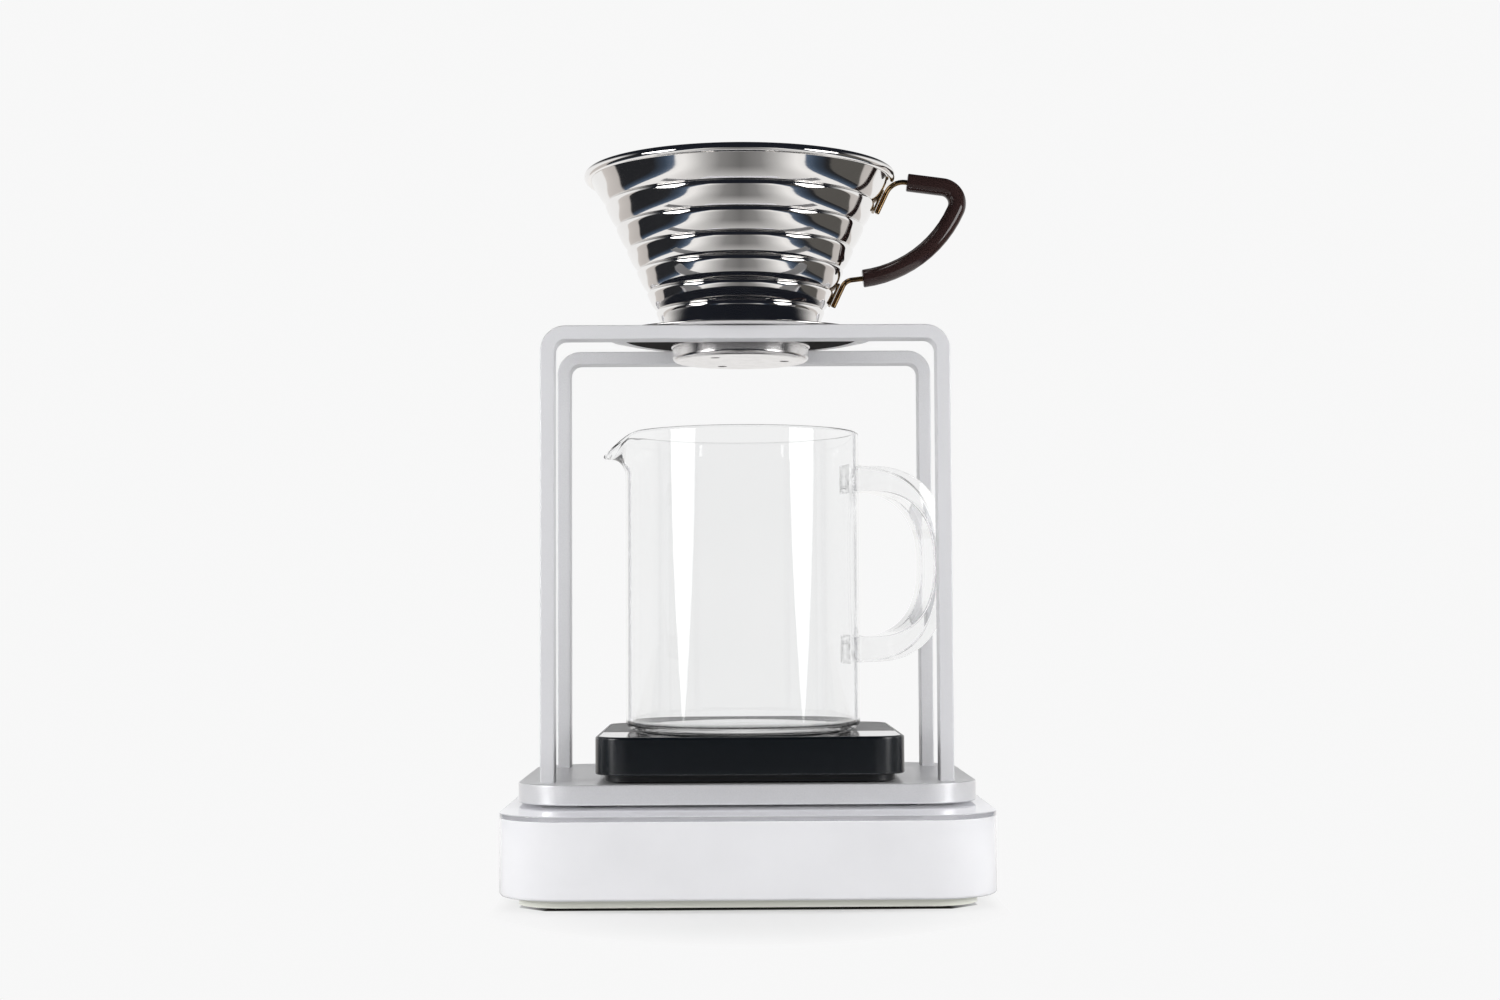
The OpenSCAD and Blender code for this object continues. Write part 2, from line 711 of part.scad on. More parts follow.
module base_screws() {
    seat_z = base_foot_h + base_screw_head_h + pocket_clear;
    hung_z = base_roof_z - base_screw_head_h - pocket_clear;
    cell_mid = base_cell_z + base_cell_h / 2;
    color("silver") {
        cell_screw_places(base_cell_l, base_screw_end, base_screw_pitch, -1) translate([0, 0, seat_z])
            screw(base_screw_d, base_screw_head_d, base_screw_head_h, cell_mid - seat_z);
        cell_screw_places(base_cell_l, base_screw_end, base_screw_pitch, 1) translate([0, 0, hung_z])
            mirror([0, 0, 1]) screw(base_screw_d, base_screw_head_d, base_screw_head_h, hung_z - cell_mid);
    }
}

module stand_plate() {
    color("gainsboro") difference() {
        translate([0, stand_y, 0]) slab(plate_w, plate_d, plate_corner_r, plate_z, plate_t);
        frame_feet() {
            translate([0, 0, plate_z - cut])
                cylinder(d = frame_screw_d + 2 * thread_clear, h = plate_t + 2 * cut);
            translate([0, 0, plate_z - cut]) cylinder(
                d = frame_screw_head_d + 2 * pocket_clear, h = frame_screw_head_h + pocket_clear + cut);
        }
    }
}

module front_frame() {
    bar_frame(stand_y - frame_spacing / 2);
}

module rear_frame() {
    bar_frame(stand_y + frame_spacing / 2);
}

module frame_screws() {
    seat_z = plate_z + frame_screw_head_h + pocket_clear;
    shank = plate_top + frame_screw_grip - seat_z;
    color("silver") frame_feet() translate([0, 0, seat_z])
        screw(frame_screw_d, frame_screw_head_d, frame_screw_head_h, shank);
}

module stand_pads() {
    color("dimgray") translate([0, stand_y, base_h])
        corners(plate_w - 2 * plate_corner_r - pad_d, plate_d - 2 * plate_corner_r)
            cylinder(d = pad_d, h = pad_t);
}

module brew_tray() {
    color("black") translate(brew_pos) difference() {
        union() {
            tray(brew_tray_w, brew_tray_r, brew_foot_h, brew_floor_t, brew_tray_wall_h, brew_tray_wall_t);
            translate([0, 0, brew_foot_h]) cell_seat(
                brew_cell_l, brew_cell_w, brew_screw_end, brew_screw_pitch, -1, brew_cell_z - brew_foot_h);
            translate([0, brew_board_y, brew_foot_h]) corners(brew_board_w - post_d, brew_board_d - post_d)
                cylinder(d = post_d, h = brew_floor_t + brew_board_lift);
        }
        translate([0, 0, brew_foot_h - cut]) corners(brew_foot_pitch, brew_foot_pitch)
            cylinder(d = brew_foot_d + 2 * pocket_clear, h = foot_pocket + cut);
        cell_screw_places(brew_cell_l, brew_screw_end, brew_screw_pitch, -1) {
            translate([0, 0, brew_foot_h - cut])
                cylinder(d = brew_screw_d + 2 * thread_clear, h = brew_cell_z - brew_foot_h + 2 * cut);
            translate([0, 0, brew_foot_h - cut])
                cylinder(d = brew_screw_hole_d, h = brew_screw_head_h + pocket_clear + cut);
        }
        translate([0, brew_tray_w / 2 - brew_tray_wall_t / 2, brew_socket_z + socket_h / 2])
            cube([socket_hole_w, brew_tray_wall_t + cut, socket_hole_h], center = true);
    }
}

module brew_feet() {
    color("dimgray") translate(brew_pos) corners(brew_foot_pitch, brew_foot_pitch)
        cylinder(d = brew_foot_d, h = brew_foot_h + foot_pocket);
}

module brew_shell() {
    inner_w = brew_w - 2 * brew_wall;
    cell_top = brew_cell_z + brew_cell_h;
    color("black") translate(brew_pos) difference() {
        union() {
            difference() {
                slab(brew_w, brew_w, brew_corner_r, brew_gap, brew_h - brew_gap);
                slab(inner_w, inner_w, brew_corner_r - brew_wall,
                    brew_gap - cut, brew_ceiling_z - brew_gap + cut);
            }
            translate([0, 0, cell_top]) cell_seat(
                brew_cell_l, brew_cell_w, brew_screw_end, brew_screw_pitch, 1, brew_roof_z - cell_top);
        }
        slab(brew_pocket_w, brew_pocket_w, brew_pocket_r, brew_roof_z, brew_skin_t + cut);
        cell_screw_places(brew_cell_l, brew_screw_end, brew_screw_pitch, 1) {
            translate([0, 0, cell_top - cut])
                cylinder(d = brew_screw_d + 2 * thread_clear, h = brew_roof_z - cell_top + 2 * cut);
            translate([0, 0, brew_roof_z - brew_screw_head_h - pocket_clear])
                cylinder(d = brew_screw_hole_d, h = brew_screw_head_h + pocket_clear + cut);
        }
        translate([0, brew_display_y, brew_ceiling_z]) cube([
            brew_display_w + 2 * pocket_clear,
            brew_display_d + 2 * pocket_clear,
            2 * brew_roof_t + cut], center = true);
        translate([0, brew_w / 2 - brew_wall / 2, brew_socket_z + socket_h / 2]) cube(
            [socket_w + 2 * plug_clear, brew_wall + 2 * cut, socket_h + 2 * plug_clear], center = true);
    }
}

// The sheet in the body's top pocket, cut to the stretch from y0 to y1
module brew_skin(y0, y1) {
    w = brew_pocket_w - 2 * pocket_clear;
    translate(brew_pos) intersection() {
        slab(w, w, brew_pocket_r - pocket_clear, brew_roof_z, brew_skin_t);
        translate([-brew_w / 2, y0, brew_roof_z]) cube([brew_w, y1 - y0, brew_skin_t]);
    }
}

module brew_platform() {
    color("dimgray") brew_skin(brew_window_d - brew_pocket_w / 2 + pocket_clear, brew_pocket_w / 2);
}

module brew_window() {
    color("black") brew_skin(-brew_pocket_w / 2, brew_window_d - brew_pocket_w / 2);
}

module brew_display() {
    color("darkslategray") translate(brew_pos)
        translate([-brew_display_w / 2, brew_display_y - brew_display_d / 2, brew_roof_z - brew_display_h])
            cube([brew_display_w, brew_display_d, brew_display_h]);
}

module brew_load_cell() {
    color("silver") translate(brew_pos) translate([0, 0, brew_cell_z])
        load_cell(brew_cell_l, brew_cell_w, brew_cell_h, brew_screw_end, brew_screw_pitch, brew_screw_d);
}

module brew_circuit_board() {
    color("green") translate(brew_pos)
        translate([-brew_board_w / 2, brew_board_y - brew_board_d / 2, brew_board_z])
            cube([brew_board_w, brew_board_d, board_t]);
}

module brew_battery() {
    y = -brew_cell_w / 2 - cell_side_gap - brew_battery_d;
    color("silver") translate(brew_pos) translate([-brew_battery_w / 2, y, brew_floor_z])
        cube([brew_battery_w, brew_battery_d, brew_battery_h]);
}

module brew_charge_socket() {
    color("silver") translate(brew_pos) translate([0, brew_tray_w / 2, brew_socket_z]) charge_socket();
}

module brew_screws() {
    seat_z = brew_foot_h + brew_screw_head_h + pocket_clear;
    hung_z = brew_roof_z - brew_screw_head_h - pocket_clear;
    cell_mid = brew_cell_z + brew_cell_h / 2;
    color("silver") translate(brew_pos) {
        cell_screw_places(brew_cell_l, brew_screw_end, brew_screw_pitch, -1) translate([0, 0, seat_z])
            screw(brew_screw_d, brew_screw_head_d, brew_screw_head_h, cell_mid - seat_z);
        cell_screw_places(brew_cell_l, brew_screw_end, brew_screw_pitch, 1) translate([0, 0, hung_z])
            mirror([0, 0, 1]) screw(brew_screw_d, brew_screw_head_d, brew_screw_head_h, hung_z - cell_mid);
    }
}

module jug_body() {
    lip_start = jug_r - jug_wall;
    color("azure", 0.4) translate(jug_pos) difference() {
        union() {
            rotate_extrude() glass_profile(jug_r, jug_h, jug_edge_r);
            spout_cone(0);
        }
        translate([0, 0, jug_floor_t])
            rotate_extrude() glass_profile(jug_r - jug_wall, jug_h, jug_edge_r - jug_wall);
        spout_cone(jug_wall);
        translate([-lip_start, 0, jug_h]) rotate([0, -spout_drop, 0])
            translate([-2 * spout_r, -2 * spout_r, 0]) cube([2 * spout_r, 4 * spout_r, 2 * spout_r]);
    }
}

module jug_handle() {
    reach = jug_r + handle_out;
    inner_h = handle_h - 2 * handle_end_t;
    color("azure", 0.4) translate(jug_pos) difference() {
        rotate([0, 0, handle_back]) translate([0, handle_strap_w / 2, handle_mid_z]) rotate([90, 0, 0])
            linear_extrude(handle_strap_w) difference() {
                handle_loop(reach, handle_h, handle_corner_r);
                handle_loop(reach - handle_side_t, inner_h, handle_corner_r - handle_end_t);
            }
        cylinder(r = jug_r, h = jug_h);
    }
}

module dripper_cone() {
    outside = cone_outline(0);
    inside = cone_outline(cone_wall);
    color("silver") translate(dripper_pos) rotate_extrude() {
        polygon(concat(outside, [for (i = [len(inside) - 1 : -1 : 0]) inside[i]]));
        translate([bead_r, cone_h]) circle(rim_bead_r);
    }
}

module dripper_flange() {
    color("silver") translate([dripper_pos[0], dripper_pos[1], flange_z]) difference() {
        cylinder(r = flange_r, h = flange_t);
        translate([0, 0, -cut])
            cylinder(r = collar_r - collar_neck_inset - collar_wall, h = flange_t + 2 * cut);
    }
}

module dripper_collar() {
    neck = collar_r - collar_neck_inset;
    lip = collar_r + collar_lip;
    lip_z = -collar_neck_h - collar_lip_h;
    inside = collar_r - collar_wall;
    shoulder = -collar_neck_h - collar_wall;
    floor_z = collar_wall - collar_drop;
    color("silver") translate([dripper_pos[0], dripper_pos[1], flange_z]) difference() {
        rotate_extrude() polygon([
            [0, -collar_drop], [collar_r - collar_edge, -collar_drop],
            [collar_r, collar_edge - collar_drop], [collar_r, lip_z], [lip, lip_z], [lip, -collar_neck_h],
            [neck, -collar_neck_h], [neck, 0], [neck - collar_wall, 0], [neck - collar_wall, shoulder],
            [inside, shoulder], [inside, collar_edge - collar_drop],
            [collar_r - collar_edge - collar_wall / 2, floor_z], [0, floor_z]]);
        for (i = [1 : drip_holes])
            rotate([0, 0, drip_turn + 360 * i / drip_holes])
                translate([drip_circle_r, 0, -collar_drop - cut])
                    cylinder(d = drip_hole_d, h = collar_wall + 2 * cut);
    }
}

module handle_wire() {
    color("peru") translate(dripper_pos) tube(wire_path, wire_d);
}

module handle_grip() {
    color("saddlebrown") translate(dripper_pos) tube(grip_path, grip_d, wire_d + 2 * grip_clear);
}

module upper_strap() {
    color("peru") translate(dripper_pos) strap(upper_end_z);
}

module lower_strap() {
    color("peru") translate(dripper_pos) strap(lower_strap_z);
}

base_tray();
base_feet();
base_shell();
base_top();
base_load_cell();
base_circuit_board();
base_battery();
base_display();
base_charge_socket();
base_screws();
stand_plate();
front_frame();
rear_frame();
frame_screws();
stand_pads();
brew_tray();
brew_feet();
brew_shell();
brew_platform();
brew_window();
brew_display();
brew_load_cell();
brew_circuit_board();
brew_battery();
brew_charge_socket();
brew_screws();
jug_body();
jug_handle();
dripper_cone();
dripper_flange();
dripper_collar();
handle_wire();
handle_grip();
upper_strap();
lower_strap();
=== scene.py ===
"""Looks of a pour-over coffee station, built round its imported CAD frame.

Each sub-assembly is a class that holds its sizes in millimetres, builds the surfaces that show and dresses them.
The pieces inside the two scales stay as the CAD made them and get their finishes here.
"""

from __future__ import annotations

import logging
import math
from dataclasses import dataclass, field
from enum import Enum

import bmesh
import bpy
import numpy as np
from mathutils import Matrix, Vector


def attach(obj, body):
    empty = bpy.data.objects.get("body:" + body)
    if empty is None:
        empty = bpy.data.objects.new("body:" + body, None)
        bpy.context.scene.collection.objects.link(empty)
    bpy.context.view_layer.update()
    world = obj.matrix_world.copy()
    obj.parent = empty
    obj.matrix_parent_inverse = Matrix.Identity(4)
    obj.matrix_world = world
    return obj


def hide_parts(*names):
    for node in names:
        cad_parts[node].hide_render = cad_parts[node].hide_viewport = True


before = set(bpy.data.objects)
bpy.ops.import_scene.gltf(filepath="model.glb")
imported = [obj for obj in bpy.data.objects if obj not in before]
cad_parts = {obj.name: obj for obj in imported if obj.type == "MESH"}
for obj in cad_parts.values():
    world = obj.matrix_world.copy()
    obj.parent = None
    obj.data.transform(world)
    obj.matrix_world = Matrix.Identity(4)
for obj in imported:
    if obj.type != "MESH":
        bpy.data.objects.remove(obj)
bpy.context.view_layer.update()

MM = 0.001
LOG = logging.getLogger("station")
SMOOTH_UP_TO = math.radians(42)
SEAM_UP_TO = math.radians(32)
WELD = 1e-7
ALONG_Y = np.array([[0.0, 1.0, 0.0]])

Array = np.ndarray
Pair = tuple[float, float]
Rgb = Triple = tuple[float, float, float]
Material, Node, Piece, Socket = bpy.types.Material, bpy.types.Node, bpy.types.Object, bpy.types.NodeSocket
Tone = Rgb | Socket


class Body(Enum):
    """The CAD bodies that pieces ride on."""

    BASE = "base_scale"
    STAND = "stand"
    BREW = "brew_scale"
    JUG = "jug"
    DRIPPER = "dripper"


class Side(Enum):
    """The two bar frames of the stand."""

    FRONT = -1
    REAR = 1


class Join(Enum):
    """How one closed shape is worked into another."""

    CUT = "DIFFERENCE"
    FUSE = "UNION"


# ---- Surfaces on grids ----


@dataclass
class Patch:
    """A grid of points that becomes one surface.

    The grid is rows by columns by three, in millimetres. A wrapped direction is joined end to start, and a capped
    one gets one face over its first line of points and one over its last.
    """

    points: Array
    wrap_rows: bool = True
    wrap_cols: bool = False
    cap_rows: bool = False
    cap_cols: bool = False

    def faces(self, start: int) -> list[list[int]]:
        """Lists the faces by vertex number.

        Args:
            start: Number of the grid's first vertex in the mesh.

        Returns:
            Four corners for each cell of the grid, then the caps.
        """
        rows, cols = self.points.shape[:2]
        index = np.arange(rows * cols).reshape(rows, cols) + start
        tall = np.vstack([index, index[:1]]) if self.wrap_rows else index
        full = np.hstack([tall, tall[:, :1]]) if self.wrap_cols else tall
        cells = np.stack([full[:-1, :-1], full[1:, :-1], full[1:, 1:], full[:-1, 1:]], axis=-1)
        made = cells.reshape(-1, 4).tolist()
        if self.cap_cols:
            made += [index[::-1, 0].tolist(), index[:, -1].tolist()]
        if self.cap_rows:
            made += [index[0].tolist(), index[-1, ::-1].tolist()]
        return made


def unit(vectors: Array) -> Array:
    """Divides vectors, along the last axis, by their lengths."""
    return vectors / np.linalg.norm(vectors, axis=-1, keepdims=True)


def around(angle: Array) -> Array:
    """Unit vectors at angles in radians: cosines and sines along a new last axis."""
    return np.stack([np.cos(angle), np.sin(angle)], axis=-1)


def ring(sides: int) -> Array:
    """Unit vectors at even steps round a circle."""
    return around(np.linspace(0, 2 * math.pi, sides, endpoint=False))


def rounded(corners: list[Triple], closed: bool = False, steps: int = 6) -> Array:
    """Rounds the corners of a flat line.

    Each corner gives way to an arc that touches both its sides. One more point lies on each side just past the
    arc, so that shading stays flat between the arcs.

    Args:
        corners: Two coordinates and a radius for each corner.
        closed: True where the last corner joins the first.
        steps: Stretches in an arc.

    Returns:
        The points of the rounded line, in order.
    """
    count = len(corners)
    spots = np.array([c[:2] for c in corners], float)
    line: list[Array] = []
    for i, (_, _, radius) in enumerate(corners):
        here = spots[i]
        if radius <= 0 or (not closed and i in (0, count - 1)):
            line.append(here[None])
            continue
        back, ahead = unit(spots[i - 1] - here), unit(spots[(i + 1) % count] - here)
        half = math.acos(float(np.clip(back @ ahead, -1, 1))) / 2
        reach = radius / math.tan(half)
        middle = here + unit(back + ahead) * radius / math.sin(half)
        first, last = here + back * reach - middle, here + ahead * reach - middle
        begin = math.atan2(first[1], first[0])
        turn = (math.atan2(last[1], last[0]) - begin + math.pi) % (2 * math.pi) - math.pi
        angle = begin + turn * np.linspace(0, 1, steps + 1)
        arc = middle + radius * around(angle)
        spare = 0.25 * radius
        line += [(here + back * (reach + spare))[None], arc, (here + ahead * (reach + spare))[None]]
    return np.vstack(line)


def bar_section(wide: float, deep: float, edge: float, steps: int) -> Array:
    """Section of a bar about the origin, from half its width and half its depth, with round edges."""
    corners = [(x * wide, y * deep, edge) for x, y in ((-1, -1), (1, -1), (1, 1), (-1, 1))]
    return rounded(corners, closed=True, steps=steps)


def outline(size: Pair, radius: float | Pair, middle: Pair,
            steps: int = 18, spare: float = 1.2) -> tuple[Array, Array]:
    """Outline of a rectangle with round corners, anticlockwise from the right.

    Args:
        size: Width and depth.
        radius: Radius of all corners, or of the back ones and the front ones.
        middle: Centre of the rectangle.
        steps: Stretches in a corner's arc.
        spare: How far past each arc the side gets one more point.

    Returns:
        Points and outward normals, each n by 2.
    """
    back, front = radius if isinstance(radius, tuple) else (radius, radius)
    turns = np.radians(np.arange(4)[:, None] * 90 + np.linspace(0, 90, steps + 1)[None])
    angle = np.hstack([turns[:, :1], turns, turns[:, -1:]])
    slide = np.zeros_like(angle)
    slide[:, 0], slide[:, -1] = -spare, spare
    radii = np.array([back, back, front, front])[:, None]
    signs = np.array([[1, 1], [-1, 1], [-1, -1], [1, -1]])
    centres = signs * (np.array(size) / 2 - radii) + np.array(middle)
    normals = around(angle)
    along = normals[..., ::-1] * np.array([-1, 1])
    points = centres[:, None] + radii[..., None] * normals + slide[..., None] * along
    return points.reshape(-1, 2), normals.reshape(-1, 2)


def carried(path: tuple[Array, Array], profile: Array) -> Patch:
    """Carries a profile of insets and heights round an outline: the point moves in along the outline's normal.

    Args:
        path: Points and outward normals of the outline.
        profile: Inset and height of each point of the profile.

    Returns:
        The surface, capped where the profile begins and ends.
    """
    points, normals = path
    flat = points[:, None] - profile[None, :, :1] * normals[:, None]
    height = np.broadcast_to(profile[None, :, 1:], (len(points), len(profile), 1))
    return Patch(np.concatenate([flat, height], axis=-1), cap_cols=True)


def revolved(profile: Array, middle: Pair, sides: int = 160, closed: bool = False) -> Patch:
    """Turns a profile of radii and heights about an upright axis.

    Args:
        profile: Radius and height of each point.
        middle: Where the axis stands.
        sides: Number of steps round the axis.
        closed: True where the profile's last point joins its first.

    Returns:
        The surface, steps by profile.
    """
    flat = np.array(middle) + profile[None, :, :1] * ring(sides)[:, None]
    height = np.broadcast_to(profile[None, :, 1:], (sides, len(profile), 1))
    return Patch(np.concatenate([flat, height], axis=-1), wrap_cols=closed)


def swept(path: Array, across: Array, up: Array, section: Array, scale: Array | None = None) -> Patch:
    """Carries a section along a path: point = path + first coordinate times across + second coordinate times up.

    Args:
        path: Points of the path, n by 3.
        across: Direction of the section's first axis at each point, or one for all.
        up: Direction of its second axis, likewise.
        section: Points of the section, m by 2.
        scale: Size of the section at each point of the path, n by 2, or none.

    Returns:
        The surface, closed round the section and capped at both ends.
    """
    sizes = np.ones((len(path), 2)) if scale is None else scale
    first = (section[None, :, :1] * sizes[:, None, :1]) * across[:, None]
    second = (section[None, :, 1:] * sizes[:, None, 1:]) * up[:, None]
    return Patch(path[:, None] + first + second, wrap_rows=False, wrap_cols=True, cap_rows=True)


def smooth_step(values: Array, low: float, high: float) -> Array:
    """Goes from 0 at low to 1 at high, level at both ends."""
    t = np.clip((values - low) / (high - low), 0, 1)
    return t * t * (3 - 2 * t)


def linked(name: str, data: bpy.types.ID) -> Piece:
    """Makes an object and links it to the scene.

    Args:
        name: Name of the object.
        data: Its mesh, camera or lamp.

    Returns:
        The object, at the origin.
    """
    made = bpy.data.objects.new(name, data)
    bpy.context.scene.collection.objects.link(made)
    return made


def new_mesh(name: str, *patches: Patch) -> Piece:
    """Makes one object of several patches, in metres, with faces outwards and smooth up to real corners.

    Args:
        name: Name of the object.
        patches: The surfaces that it is made of.

    Returns:
        The object, at the origin, linked to the scene.
    """
    points = np.vstack([p.points.reshape(-1, 3) for p in patches]) * MM
    starts = np.cumsum([0] + [p.points.shape[0] * p.points.shape[1] for p in patches])
    faces = [f for p, s in zip(patches, starts) for f in p.faces(int(s))]
    mesh = bpy.data.meshes.new(name)
    mesh.from_pydata(points, [], faces)
    work = bmesh.new()
    work.from_mesh(mesh)
    bmesh.ops.remove_doubles(work, verts=work.verts, dist=WELD)
    bmesh.ops.recalc_face_normals(work, faces=work.faces)
    work.to_mesh(mesh)
    work.free()
    mesh.polygons.foreach_set("use_smooth", np.ones(len(mesh.polygons), bool))
    mesh.set_sharp_from_angle(angle=SMOOTH_UP_TO)
    mesh.update()
    return linked(name, mesh)


def worked_in(piece: Piece, how: Join, *shapes: Patch) -> None:
    """Cuts closed shapes out of a piece or fuses them to it, and keeps the seam's edges sharp.

    Args:
        piece: The piece, whose mesh is replaced.
        how: Cut or fuse.
        shapes: The closed shapes.
    """
    tool = new_mesh("tool", *shapes)
    step = piece.modifiers.new("join", "BOOLEAN")
    step.operation, step.solver, step.object = how.value, "EXACT", tool
    graph = bpy.context.evaluated_depsgraph_get()
    mesh = bpy.data.meshes.new_from_object(piece.evaluated_get(graph))
    piece.modifiers.clear()
    piece.data = mesh
    mesh.set_sharp_from_angle(angle=SEAM_UP_TO)
    bpy.data.objects.remove(tool)


def finished(piece: Piece, body: Body, finish: Finish, *nodes: str) -> None:
    """Dresses a piece, lets it stand for its CAD nodes and ride on its body.

    Args:
        piece: The piece, in place.
        body: The CAD body that it moves with.
        finish: Its finish.
        nodes: The CAD nodes that it stands for.
    """
    piece.data.materials.clear()
    piece.data.materials.append(finish.material())
    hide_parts(*nodes)
    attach(piece, body.value)
    LOG.info("%s rides on %s", piece.name, body.value)


def face_data(piece: Piece) -> tuple[Array, Array]:
    """Reads where a piece's faces lie and how they face.

    Args:
        piece: The piece.

    Returns:
        The faces' middles, in millimetres, and their normals, each n by 3.
    """
    faces = piece.data.polygons
    spots, tilts = np.empty(3 * len(faces)), np.empty(3 * len(faces))
    faces.foreach_get("center", spots)
    faces.foreach_get("normal", tilts)
    return spots.reshape(-1, 3) / MM, tilts.reshape(-1, 3)


def second_finish(piece: Piece, finish: Finish, where: Array) -> None:
    """Gives the faces that are marked true a finish of their own."""
    piece.data.materials.append(finish.material())
    piece.data.polygons.foreach_set("material_index", where.astype(np.int32))


def dressed(finish: Finish, node: str) -> None:
    """Gives a CAD node that stays as it is its finish.

    Args:
        finish: The finish.
        node: Name of the node.
    """
    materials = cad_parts[node].data.materials
    materials.clear()
    materials.append(finish.material())
    LOG.info("%s stays, with finish %s", node, finish.slot)


# ---- Finishes ----


class Nodes:
    """A node tree in the making, of a material or of the world."""

    def __init__(self, owner: Material | bpy.types.World) -> None:
        """Empties the owner's tree.

        Args:
            owner: The material or world.
        """
        owner.use_nodes = True
        self.tree = owner.node_tree
        self.tree.nodes.clear()

    def feed(self, socket: Socket, value: object) -> None:
        """Links another node's output to an input, or sets a plain value there.

        Args:
            socket: The input.
            value: An output, a number, a vector or a colour without its alpha.
        """
        if isinstance(value, Socket):
            self.tree.links.new(value, socket)
        else:
            socket.default_value = (*value, 1) if socket.type == "RGBA" else value

    def node(self, kind: str, *values: object, **named: object) -> Node:
        """Adds a node.

        Args:
            kind: What follows ShaderNode in the name of its type.
            values: What its first inputs get, in order: other nodes' outputs, plain values or colours.
            named: Its settings, in lower case, and further inputs, capitalised and with underscores for spaces.

        Returns:
            The node.
        """
        made = self.tree.nodes.new("ShaderNode" + kind)
        for socket, value in zip(made.inputs, values):
            self.feed(socket, value)
        for name, value in named.items():
            if name.islower():
                setattr(made, name, value)
            else:
                self.feed(made.inputs[name.replace("_", " ")], value)
        return made

    def span(self, value: Socket, low: float, high: float, start: float = 0.3, end: float = 0.7,
             **named: object) -> Socket:
        """Maps a value from the span start to end onto low to high."""
        return self.node("MapRange", value, start, end, low, high, **named).outputs["Result"]

    def maths(self, kind: str, *values: Socket | float) -> Socket:
        """Works out a sum, product or such of one or two values."""
        return self.node("Math", *values, operation=kind).outputs[0]

    def mixed(self, share: Socket, first: Node, second: Node) -> Node:
        """Mixes two shaders or lights by a share."""
        return self.node("MixShader", share, first.outputs[0], second.outputs[0])

    def blend(self, share: Socket, first: Tone, second: Tone) -> Socket:
        """Mixes two colours, plain ones or other nodes' outputs.

        Args:
            share: Share of the second colour.
            first: The first colour.
            second: The second one.

        Returns:
            The mixed colour.
        """
        made = self.node("Mix", share, data_type="RGBA")
        for socket, tone in zip(made.inputs[6:8], (first, second)):
            self.feed(socket, tone)
        return made.outputs[2]

    def ramp(self, value: Socket, *stops: tuple[float, Rgb]) -> Socket:
        """Colour that goes evenly from each stop to the next.

        Args:
            value: The value that the stops are set against.
            stops: Value and colour of each stop, in order.

        Returns:
            The colour.
        """
        low, high = stops[0][0], stops[-1][0]
        made = self.node("ValToRGB", self.span(value, 0, 1, low, high))
        spots = made.color_ramp.elements
        for _ in stops[2:]:
            spots.new(1.0)
        for spot, (place, colour) in zip(spots, stops):
            spot.position, spot.color = (place - low) / (high - low), (*colour, 1)
        return made.outputs[0]


class Shader(Nodes):
    """A material in the making: one Principled shader and the nodes that feed it."""

    def __init__(self, name: str) -> None:
        """Starts a material with its shader and its object coordinates.

        Args:
            name: Name of the material.
        """
        self.material = bpy.data.materials.new(name)
        super().__init__(self.material)
        self.surface = self.node("BsdfPrincipled")
        self.output = self.node("OutputMaterial", self.surface.outputs[0])
        self.place = self.node("TexCoord").outputs["Object"]

    def set(self, **inputs: object) -> None:
        """Feeds the shader's own sockets, with underscores for spaces."""
        for name, value in inputs.items():
            self.feed(self.surface.inputs[name.replace("_", " ")], value)

    def stretched(self, scale: Triple) -> Socket:
        """Object coordinates, scaled along each axis."""
        return self.node("Mapping", self.place, Scale=scale).outputs["Vector"]

    def noise(self, scale: float, detail: float = 3.0, stretch: Triple = (1, 1, 1)) -> Socket:
        """Noise from 0 to 1, of scale waves in a metre and detail octaves, stretched along each axis."""
        return self.node("TexNoise", self.stretched(stretch), Scale=scale, Detail=detail).outputs[0]

    def bump(self, height: Socket, depth: float) -> Socket:
        """Normal of the surface raised by a height of 0 to 1 times depth, in metres."""
        return self.node("Bump", Strength=1.0, Distance=depth, Height=height).outputs["Normal"]

    def shows(self, made: Node) -> None:
        """Lets another shader take the output."""
        self.feed(self.output.inputs["Surface"], made.outputs[0])

    def alone(self, made: Node) -> Material:
        """Puts another shader in the Principled one's place.

        Args:
            made: The other shader.

        Returns:
            The material.
        """
        self.tree.nodes.remove(self.surface)
        self.shows(made)
        return self.material


def shade(colour: Rgb, factor: float) -> Rgb:
    """A colour times a factor."""
    return (colour[0] * factor, colour[1] * factor, colour[2] * factor)


@dataclass(frozen=True)
class Finish:
    """A finish on one of the record's material slots."""

    slot: str
    tint: Rgb

    look: str = field(default="", kw_only=True)

    def material(self) -> Material:
        """Makes the finish's material, once.

        Returns:
            The material, which every later call gets again.
        """
        name = (self.look or self.slot) + "_look"
        if name not in bpy.data.materials:
            self.build(Shader(name))
        return bpy.data.materials[name]

    def tones(self, shader: Shader, value: Socket, low: float, high: float, *reach: float) -> Socket:
        """Tint times low to high, as a value goes over its reach."""
        return shader.blend(shader.span(value, 0, 1, *reach), shade(self.tint, low), shade(self.tint, high))

    def build(self, shader: Shader) -> None:
        """Feeds the shader; each kind of finish has its own way."""
        raise NotImplementedError


@dataclass(frozen=True)
class Moulded(Finish):
    """Moulded or lacquered plastic with a faint waviness and specks."""

    gloss: Pair = (0.2, 0.28)
    coat: float = 0.0
    wave: float = 1e-5
    grain: float = 2600.0

    def build(self, shader: Shader) -> None:
        """Tone and roughness drift slowly, and a fine grain lifts the surface."""
        shader.set(Base_Color=self.tones(shader, shader.noise(38), 0.965, 1.02),
                   Roughness=shader.span(shader.noise(160, 4), *self.gloss),
                   Normal=shader.bump(shader.noise(self.grain, 2), self.wave),
                   Coat_Weight=self.coat, Coat_Roughness=0.06)


